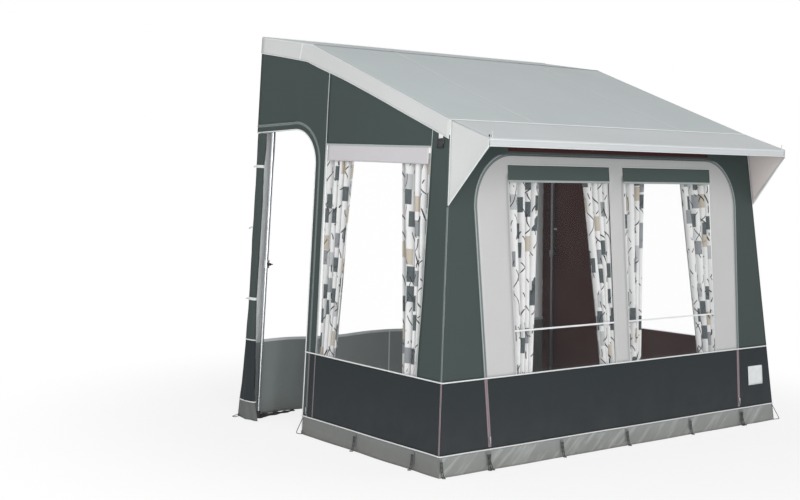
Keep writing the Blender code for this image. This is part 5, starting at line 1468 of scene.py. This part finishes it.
def curtain(label, surface, first, direction, top, widths, face, lean, phase):
    """A gathered curtain: across it the stand-off is a cosine and the side shift a sine, so folds round over.

    A fold's depth follows by Pythagoras from its share of the flat cut and of the hung width, so the cloth
    keeps its length where the curtain narrows.
    """
    folds = sizes().curtain_folds
    cut = widths[0] * sizes().gather
    across, down = grid_shares(folds * 18 + 1, 73)
    height = mix(top, CURTAIN_FOOT, down) + 0 * across
    width = mix(widths[0], widths[1], down)
    depth = 0.95 * np.sqrt(cut * cut - width * width) / (2 * folds)
    drift = 0.12 * np.sin(4.1 * down + phase) + 0.05 * np.sin(9.7 * down + 2 * phase)
    drift = drift * np.sin(math.pi * across)
    turn = TAU * (folds * across + drift + 0.25 * np.sin(TAU * across + phase))
    wave = np.cos(turn) * (0.85 + 0.15 * np.sin(TAU * across * 1.5 + 3 * down + phase))
    shift = 0.28 * np.sin(turn) / (TAU * folds)
    spot = first(height) + direction * width * np.clip(across + shift, 0, 1)
    out = face - depth * (0.5 - 0.5 * wave) - lean * down
    points = surface.point(spot, height, out)
    facing = surface.point(spot, height, out + LIFT) - points
    shape = Shape(points, edge(across * cut + phase, height), facing)
    piece = make(label + "_drape", shape, "print", "print", body=label + "_curtain_body",
                 replaces=[label + "_curtain"], thick=0.0006)
    # Each point's depth into a fold, stored for the print's painted shade in the valleys.
    valley = piece.data.attributes.new("valley", "FLOAT", "POINT")
    valley.data.foreach_set("value", (0.5 - 0.5 * wave).astype(np.float32).ravel())


def hang_curtains():
    phase = 0.4
    for name, side in SIDES:
        for part, x, direction, widths in (
            ("outer", side * (WINDOW_OUTER + CURTAIN_LAP), -side, OUTER_CURTAIN_WIDTHS),
            ("inner", side * (WINDOW_INNER - CURTAIN_LAP), side, INNER_CURTAIN_WIDTHS),
        ):
            phase += 1.7
            curtain(f"front_{name}_{part}", FRONT, lambda height, x=x: x, direction, FRONT_CURTAIN_TOP, widths,
                    -0.0049 - sizes().billow, 0.0, phase)
    wall = WALL["left"]
    by_depth = Surface(
        lambda depth, height, out: wall.point(depth / corner_depth(height), height, out),
        lambda depth, height: (depth, height),
    )

    def rear(height):
        return SEAM_SHARE * corner_depth(height) + CURTAIN_MARGIN - CURTAIN_LAP

    def front(height):
        return window_front(height) * corner_depth(height) - CURTAIN_MARGIN + CURTAIN_LAP

    for part, first, direction in (("rear", rear, 1), ("front", front, -1)):
        phase += 1.9
        curtain("left_window_" + part, by_depth, first, direction, SIDE_CURTAIN_TOP, SIDE_CURTAIN_WIDTHS,
                -(0.002 + 0.0006 + 0.001), 0.012, phase)


# Pegging and small fittings


def bar(shape, points, radius, outward=(0, -0.3, 1.0)):
    """A thin round bar through a few points."""
    carried(shape, np.asarray(points, float), np.asarray(outward, float), round_profile(radius, 6))


def ladder(strap, rubber, surface, place, across, lean=0.0):
    """A pegging point: a strap down the flap, a rubber ladder over it and a loop on the ground.

    across is a step of the surface's first coordinate that measures one metre. The ladder's stand-off grows
    with the square of its drop.
    """
    heights = np.linspace(STRAP_TOP, STRAP_FOOT, 10)
    path = edge(place + lean * across * (heights - STRAP_TOP), heights)
    trim(strap, surface, path, 0.0032, band_profile(sizes().strap, 0.0012))

    def ladder_points(aside, height, out):
        return surface.point(place + across * (aside + lean * (height - STRAP_TOP)), height,
                             out + 0.010 * (1 - height / LADDER_TOP) ** 2)

    height = np.linspace(LADDER_TOP, 0.004, 10)
    for aside in (-0.0065, 0.0065):
        bar(rubber, ladder_points(aside, height, 0.0085), 0.0022, (0, -1.0, 0.2))
    for level in np.linspace(0.082, 0.008, sizes().ladder_rungs):
        bar(rubber, ladder_points(np.linspace(-LADDER_HALF_WIDTH, LADDER_HALF_WIDTH, 3), level, 0.0088), 0.0026)
    turn = np.linspace(0, math.pi, 11)
    aside = LADDER_HALF_WIDTH * np.cos(turn) - lean * STRAP_TOP
    loop = surface.point(place + across * aside, 0.0032 + 0 * turn, 0.0185 + 0.016 * np.sin(turn))
    bar(rubber, loop, 0.0024, (0, 0, 1.0))


def ground_loop(shape, first, second, tip_a, tip_b):
    """A triangular loop that a peg holds: from two points on the cloth to two points on the ground."""
    corners = np.array([first, tip_a, tip_b, second])
    share = np.linspace(0, 1, 6, endpoint=False)[:, None]
    line = np.concatenate([mix(a, b, share) for a, b in zip(corners, corners[1:])] + [corners[-1:]])
    line[1:-1] = (line[:-2] + 2 * line[1:-1] + line[2:]) / 4
    bar(shape, line, 0.0022)


def peg_out():
    strap, rubber = Shape(), Shape()
    for x in FRONT_PEGS[2:5]:
        ladder(strap, rubber, FRONT, x, 1.0)
    for side in (-1, 1):
        for lean in (-PEG_LEAN, PEG_LEAN):
            ladder(strap, rubber, FRONT, side * 1.145 + lean * 0.045, 1.0, lean)
    ladder(strap, rubber, FRONT, -1.496, 1.0)
    for wall in WALL.values():
        for share in SIDE_PEGS[1:3]:
            ladder(strap, rubber, wall, share, SHARE_PER_METRE)
    make("pegging_straps", strap, "strap")
    for name, side in SIDES:
        top, low = WALL[name].point(0.349, 0.095, 0.004), WALL[name].point(0.352, 0.028, 0.006)
        ground_loop(rubber, top, low, at(side * 1.447, 0.665, 0.004), at(side * 1.437, 0.705, 0.004))
    top, low = FRONT.point(1.492, 0.100, 0.003), FRONT.point(1.500, 0.004, 0.004)
    ground_loop(rubber, top, low, at(1.556, 2.016, 0.004), at(1.548, 2.012, 0.003))
    foot = WALL["left"].point(0.02, 0.02, 0.03)
    ground_loop(rubber, foot, foot + [0, -0.02, -0.01], at(-1.478, 0.03, 0.004), at(-1.474, 0.05, 0.004))
    make("pegging_ladders", rubber, "rubber")


def small_fittings():
    """White tab and dark buckle under the left valance, tape ties on the rear right leg, corner spigots."""
    wall = WALL["left"]
    shape = Shape()
    trim(shape, wall, edge(0.958, np.linspace(1.828, 1.782, 7)), 0.0025, band_profile(0.034, 0.0012))
    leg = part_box("rear_right_leg_tube")
    turn = np.linspace(0, TAU, 25)
    for height in LEG_TIE_HEIGHTS:
        x = mix(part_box("rear_right_leg_slide")[1][0] - 0.034, leg[1][0] - 0.013, height / 2.3)
        y = (leg[0][1] + leg[1][1]) / 2
        ring = np.stack([x + 0.0145 * np.cos(turn), y + 0.0145 * np.sin(turn), height + 0 * turn], -1)
        carried(shape, ring, unit(ring - ring.mean(axis=0)), TIE_BAND)
    make("small_ties", shape, "webbing")
    shape = Shape()
    corners = np.array([
        (0.944, 1.776), (0.972, 1.772), (0.972, 1.752), (0.966, 1.744), (0.972, 1.734), (0.944, 1.734),
        (0.944, 1.776),
    ])
    share = np.linspace(0, 1, 4, endpoint=False)[:, None]
    line = np.concatenate([mix(a, b, share) for a, b in zip(corners, corners[1:])])
    bar(shape, wall.point(line[:, 0], line[:, 1], 0.006), 0.004, (-1.0, 0, 0))
    trim(shape, wall, edge(0.957, np.linspace(1.772, 1.738, 7)), 0.0022, band_profile(0.046, 0.0022))
    for offset in (0.012, 0.030):
        place = at(-CANOPY_HALF_WIDTH + offset, CANOPY_DEPTH - 0.022, CANOPY_HEIGHT + 0.006)
        bar(shape, place + np.linspace(0, 1, 5)[:, None] * [0, 0, 0.012], 0.0035, FORWARD)
    make("buckle_and_spigots", shape, "black")


# Rear strips and skirt


def pad_x(height, across):
    """Half width at a share of a padded strip's width, from the side wall inwards."""
    width = np.interp(height, (PAD_FOOT, PAD_POINT, PAD_TOP), (PAD_FOOT_WIDTH, PAD_POINT_WIDTH, PAD_WIDTH))
    return rear_x(height) - CAD_CLOTH - SEAM_GAP - 0.001 - (width - 0.002) * across


# Air in the padded strips: voxel size in metres, pressure, quality and frames
AIR_VOXEL, AIR_PRESSURE, AIR_QUALITY, AIR_FRAMES = 0.007, 4.0, 4, 20


def plump(piece, start, cap):
    """Swells a closed piece with air as cloth, pinned where it rests; no point moves further than the cap."""
    scene = bpy.context.scene
    remesh = piece.modifiers.new("remesh", "REMESH")
    remesh.mode, remesh.voxel_size = "VOXEL", AIR_VOXEL
    graph = bpy.context.evaluated_depsgraph_get()
    piece.data = bpy.data.meshes.new_from_object(piece.evaluated_get(graph))
    piece.modifiers.clear()
    before = vertex_places(piece.data)
    wall = np.flatnonzero(before[:, 1] > MIDDLE_DEPTH - start)
    piece.vertex_groups.new(name="held").add(wall.tolist(), 1.0, "REPLACE")
    air = piece.modifiers.new("air", "CLOTH")
    air.settings.vertex_group_mass = "held"
    air.settings.use_pressure = True
    air.settings.uniform_pressure_force = AIR_PRESSURE
    air.settings.effector_weights.gravity = 0.0
    air.settings.quality = AIR_QUALITY
    for number in range(1, AIR_FRAMES + 1):
        scene.frame_set(number)
    graph = bpy.context.evaluated_depsgraph_get()
    move = vertex_places(piece.evaluated_get(graph).to_mesh()) - before
    size = np.linalg.norm(move, axis=1, keepdims=True)
    after = before + move * np.minimum(1, cap / np.maximum(size, 1e-9))
    piece.modifiers.clear()
    piece.vertex_groups.clear()
    scene.frame_set(1)
    return after


def rear_pads():
    """Padded strips: an air-filled body lofted down to a point, flat on the wall, with a flange inside it.

    Across it the body's width follows a cosine to the power 0.7 and its rise a sine to the power 0.8.
    """
    heights = runs([PAD_FOOT, PAD_POINT, PAD_TOP], [16, 110])
    turn = np.linspace(0, TAU, 36, endpoint=False)[None, :]
    across = PAD_BODY * (0.5 - 0.5 * np.sign(np.cos(turn)) * np.abs(np.cos(turn)) ** 0.7)
    level = heights[:, None]
    ends = smooth(level, PAD_FOOT - 0.02, PAD_FOOT + 0.04) * smooth(PAD_TOP + 0.01 - level, 0, 0.03)
    ripple = 1 + 0.04 * np.sin(level * 21) + 0.03 * np.sin(level * 47 + 1)
    rise = np.clip(np.sin(turn), 0, 1) ** 0.8
    thick = (PAD_THICK - AIR_VOXEL) * mix(0.45, 1.0, ends) * ripple
    points, facing = closed_rings(at(-pad_x(level, across), 0.0006 + thick * rise, level))
    shape = Shape(points, edge(np.linspace(0, 0.24, 37), np.arange(len(points))[:, None]), facing, around=True)
    left = make("left_padded_strip", shape, "pad", replaces=["left_rear_pad"])
    spots = plump(left, 0.002, 0.008)
    spots[:, 1] = np.clip(spots[:, 1], MIDDLE_DEPTH - PAD_THICK + 0.0005, MIDDLE_DEPTH - 0.0006)
    limit = rear_x(spots[:, 2]) - CAD_CLOTH - SEAM_GAP - 0.0005
    spots[:, 0] = np.maximum(spots[:, 0], -limit)
    left.data.vertices.foreach_set("co", spots.astype(np.float32).ravel())
    left.data.update()
    mirrored = left.data.copy()
    mirrored.transform(Matrix.Scale(-1, 4, (1, 0, 0)))
    mirrored.flip_normals()
    right = linked("right_padded_strip", mirrored)
    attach(right, ROOM)
    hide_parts("right_rear_pad")
    for piece in (left, right):
        smoothed(piece.data)
        fine = piece.modifiers.new("fine", "SUBSURF")
        fine.levels = fine.render_levels = 1
    for name, side in SIDES:
        across = np.linspace(PAD_BODY - 0.02, 1.0, 7)[:, None]
        level = heights[None, 3:-3]
        depth = 0.004 + 0.0022 * np.sin(level * 16) * (across - PAD_BODY) / (1 - PAD_BODY)
        shape = Shape(at(side * pad_x(level, across), depth, level), edge(across * PAD_WIDTH, level), FORWARD)
        sew(name + "_strip_flange", shape, "flange", "hung", [name + "_padded_strip"],
            replaces=[name + "_rear_pad"], thick=0.0012)


def draught_skirt():
    """The skirt across the opening: its stand-off is a sum of cosines across it, stronger towards its hem."""
    across, down = grid_shares(181, 25)
    height = mix(SKIRT_TOP, 0.0, down) + 0.006 * np.sin(TAU * across * 3.2) * (1 - down) + 0.0012
    fold = 0.5 + 0.5 * np.cos(TAU * 9 * across)
    small = 0.5 + 0.5 * np.cos(TAU * 17 * across + 2.6 * down)
    depth = PAD_THICK + 0.0014 + SKIRT_FOLD * mix(0.35, 1.0, down) * (1 - 0.8 * fold - 0.2 * small)
    x = (rear_x(height) - SKIRT_INSET) * mix(-1, 1, across)
    shape = Shape(at(x, depth, height), edge(across * 2.72, height), FORWARD)
    sew("skirt_cloth", shape, "skirt", "hung", ["left_padded_strip", "right_padded_strip"],
        replaces=["draught_skirt"], thick=THIN_CLOTH)
    shape = Shape()
    head = mix(-1, 1, across[0]) * (rear_x(SKIRT_TOP) - SKIRT_INSET)
    carried(shape, at(head, depth[0] + 0.0010, height[0] - 0.002), FORWARD, band_profile(0.018, 0.0010))
    for place in SKIRT_TAPES:
        column = int((place / SKIRT_HALF_SPAN * 0.5 + 0.5) * 180)
        line = at(head[column], depth[:, column] + 0.0012, height[:, column])
        carried(shape, line, FORWARD, WELD_BAND)
    make("skirt_tapes", shape, "hem")


def ground_flap():
    """The dark flap on the ground by the doorway: it widens across it and ripples as a product of sines."""
    across, down = grid_shares(41, 13)
    x = mix(*GROUND_FLAP_X, across) + 0.004 * np.sin(17 * down)
    width = mix(*GROUND_FLAP_WIDTHS, across)
    depth = 0.05 + width * down + 0.006 * np.sin(TAU * across * 3)
    ripple = 0.5 + 0.5 * np.sin(TAU * across * 4 + 5 * down)
    height = 0.0014 + 0.010 * ripple * np.sin(math.pi * down)
    shape = Shape(at(x, depth, height), edge(across * 0.33, down * width * 1.06), UPWARD)
    sew("ground_flap", shape, "ground_flap", "laid", ["skirt_cloth"], thick=THIN_CLOTH)


# Frame


def dress_frame():
    """Finishes for the steel and plastic nodes, whose shapes stay."""
    for name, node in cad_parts.items():
        kind = "steel"
        # The rear right leg gets the steel painted darker, as painted shade.
        if name.startswith("rear_right_leg"):
            kind = "shaded_steel"
        elif name.endswith("_leg_slide"):
            kind = "leg"
        elif name.endswith("_clamp_knob"):
            kind = "black"
        elif name == "rail_bead":
            kind = "bead"
        node.data.materials.clear()
        node.data.materials.append(finish(kind))


# Stage


def white_world():
    """White behind the object and in its reflections; an even soft light on everything else."""
    world = bpy.data.worlds.new("soft_studio")
    world.use_nodes = True
    bpy.context.scene.world = world
    net = Net("soft_studio", world.node_tree)
    path = net.add("ShaderNodeLightPath").socket.node
    seen = [Wire(net, path.outputs[name]) for name in ("Is Camera Ray", "Is Glossy Ray", "Is Transmission Ray")]
    share = net.sum("MAXIMUM", net.sum("MAXIMUM", seen[0], seen[1]), seen[2])
    light = net.add("ShaderNodeBackground", None, {"Color": (0.97, 0.985, 1.0, 1.0), "Strength": 0.46})
    white = net.add("ShaderNodeBackground", None, {"Color": (1.0, 1.0, 1.0, 1.0), "Strength": 1.0})
    mixed = net.add("ShaderNodeMixShader", None, {0: share, 1: light, 2: white})
    net.add("ShaderNodeOutputWorld", None, {"Surface": mixed})


def pale_floor():
    """A large flat floor that turns plain white away from the object and to the camera."""
    across = np.linspace(-1, 1, 25)
    x, y = across[None, :] * 30, across[:, None] * 30
    shape = Shape(at(x, y + 1, -0.0012), edge(x, y), UPWARD)
    mesh = bpy.data.meshes.new("floor")
    mesh.from_pydata(shape.points[0].tolist(), [], shape.quads[0].tolist())
    floor = linked("floor", mesh)
    net = Net("pale_floor")
    _, x, y, _ = net.places()
    away = net.sum("SQRT", x * x + y * y)
    path = net.add("ShaderNodeLightPath").socket.node
    camera = Wire(net, path.outputs["Is Camera Ray"])
    share = net.smooth(away, 1.8, 3.6) * 0.20 + 0.80
    plain = net.add("ShaderNodeBsdfDiffuse", None, {"Color": (0.86, 0.86, 0.86, 1.0)})
    white = net.add("ShaderNodeEmission", None, {"Color": (1.0, 1.0, 1.0, 1.0), "Strength": 1.0})
    mixed = net.add("ShaderNodeMixShader", None, {0: share * camera, 1: plain, 2: white})
    net.add("ShaderNodeOutputMaterial", None, {"Surface": mixed})
    mesh.materials.append(net.material)


def placed(data, right, up, back, place):
    """A lamp or camera at a place, given by its own three directions."""
    thing = linked(data.name, data)
    thing.matrix_world = Matrix([*zip(right, up, back, place), (0, 0, 0, 1)])
    return thing


# Lamps: name, place, target, width in metres and power in watts
LAMPS = (
    ("key_lamp", (-5.5, -6.5, 6.5), (0, 0, 1.0), 5.0, 228),
    ("front_lamp", (-5.4, -6.8, 1.4), (0, 0, 1.2), 3.0, 178),
    ("right_lamp", (6.0, -5.5, 4.5), (0, 0, 1.0), 4.0, 115),
    ("left_lamp", (-6.5, 1.5, 3.2), (-1.2, 0.2, 1.2), 3.5, 55),
)


def area_light(name, place, target, size, power):
    """A square soft lamp at a place, aimed at a target."""
    lamp = bpy.data.lights.new(name, "AREA")
    lamp.shape = "SQUARE"
    lamp.size = size
    lamp.energy = power
    back = unit(np.array(place, float) - np.array(target, float))
    right = unit(np.cross([0, 0, 1.0], back))
    placed(lamp, right, np.cross(back, right), back, place)


def photo_camera():
    """The camera at the photograph's place, turned by yaw, then pitch, then roll about its own axis."""
    yaw, pitch, roll = (math.radians(value) for value in PHOTO_TURN)
    width, height = PHOTO_FRAME
    forward = np.array([-math.sin(yaw) * math.cos(pitch), math.cos(yaw) * math.cos(pitch), math.sin(pitch)])
    right = np.array([math.cos(yaw), math.sin(yaw), 0.0])
    up = np.cross(right, forward)
    turned_right = right * math.cos(roll) + up * math.sin(roll)
    turned_up = -right * math.sin(roll) + up * math.cos(roll)
    lens = bpy.data.cameras.new("photo_camera")
    lens.sensor_width = SENSOR_WIDTH
    lens.lens = PHOTO_FOCAL * SENSOR_WIDTH / width
    lens.shift_x = (width / 2 - PHOTO_CENTRE[0]) / width
    lens.shift_y = (PHOTO_CENTRE[1] - height / 2) / width
    lens.clip_start, lens.clip_end = 0.05, 200.0
    bpy.context.scene.camera = placed(lens, turned_right, turned_up, -forward, PHOTO_PLACE)


class StepBase:
    """What the steps share: run the builder functions named by a step."""

    bl_options = {"REGISTER", "UNDO"}
    steps = ()

    def execute(self, context):
        for step in self.steps:
            step()
        return {"FINISHED"}


class AWNING_OT_stage(StepBase, bpy.types.Operator):
    """Set up the camera, the floor, the white world and the soft lamps"""

    bl_idname = "awning.stage"
    bl_label = "Stage"

    def execute(self, context):
        context.scene.view_settings.view_transform = "Standard"
        photo_camera()
        white_world()
        pale_floor()
        for lamp in LAMPS:
            area_light(*lamp)
        return {"FINISHED"}


class AWNING_OT_roof(StepBase, bpy.types.Operator):
    """Sew the roof, the canopy with its flaps, and the valances"""

    bl_idname = "awning.roof"
    bl_label = "Roof and canopy"
    steps = (sew_roof, sew_canopy, sew_flaps, sew_valances, trim_roof)


class AWNING_OT_sides(StepBase, bpy.types.Operator):
    """Sew both side walls with their windows, bands and mud flaps"""

    bl_idname = "awning.sides"
    bl_label = "Side walls"

    def execute(self, context):
        for name, side in SIDES:
            side_sheets(name, side)
            side_trim(name, side)
        return {"FINISHED"}


class AWNING_OT_front(StepBase, bpy.types.Operator):
    """Sew the front wall with its arched panel, windows, bands and zips"""

    bl_idname = "awning.front"
    bl_label = "Front wall"
    steps = (front_sheets, front_trim, white_piping)


class AWNING_OT_doors(StepBase, bpy.types.Operator):
    """Sew the doorway edges, the rolled left door and the closed right door"""

    bl_idname = "awning.doors"
    bl_label = "Doors"
    steps = (door_sheets, roll_door, tie_door)


class AWNING_OT_curtains(StepBase, bpy.types.Operator):
    """Hang the six gathered curtains"""

    bl_idname = "awning.curtains"
    bl_label = "Curtains"
    steps = (hang_curtains,)


class AWNING_OT_rear(StepBase, bpy.types.Operator):
    """Make the padded strips and the draught skirt"""

    bl_idname = "awning.rear"
    bl_label = "Rear strips and skirt"
    steps = (rear_pads, draught_skirt, ground_flap)


class AWNING_OT_pegging(StepBase, bpy.types.Operator):
    """Add the pegging straps, ladders, loops and small fittings"""

    bl_idname = "awning.pegging"
    bl_label = "Pegging and fittings"
    steps = (peg_out, small_fittings)


class AWNING_OT_frame(StepBase, bpy.types.Operator):
    """Finish the steel tubes, feet, knobs, sliders and the rail bead"""

    bl_idname = "awning.frame"
    bl_label = "Steel frame"
    steps = (dress_frame,)


STEPS = (
    AWNING_OT_frame,
    AWNING_OT_roof,
    AWNING_OT_sides,
    AWNING_OT_front,
    AWNING_OT_doors,
    AWNING_OT_curtains,
    AWNING_OT_rear,
    AWNING_OT_pegging,
    AWNING_OT_stage,
)


class AWNING_PT_panel(bpy.types.Panel):
    """Sizes, colours and steps of the porch awning"""

    bl_idname = "AWNING_PT_panel"
    bl_label = "Porch awning"
    bl_space_type = "VIEW_3D"
    bl_region_type = "UI"
    bl_category = "Awning"

    def draw(self, context):
        for step in STEPS:
            self.layout.operator(step.bl_idname)
        for group in (context.scene.awning_sizes, context.scene.awning_colours):
            column = self.layout.column()
            for name in group.bl_rna.properties.keys():
                if name not in ("rna_type", "name"):
                    column.prop(group, name)


CLASSES = (AwningSizes, AwningColours) + STEPS + (AWNING_PT_panel,)


def register():
    for kind in CLASSES:
        bpy.utils.register_class(kind)
    bpy.types.Scene.awning_sizes = PointerProperty(type=AwningSizes)
    bpy.types.Scene.awning_colours = PointerProperty(type=AwningColours)


def unregister():
    del bpy.types.Scene.awning_sizes
    del bpy.types.Scene.awning_colours
    for kind in reversed(CLASSES):
        bpy.utils.unregister_class(kind)


def main():
    register()
    for step in STEPS:
        group, name = step.bl_idname.split(".")
        getattr(getattr(bpy.ops, group), name)()


if __name__ == "__main__":
    main()
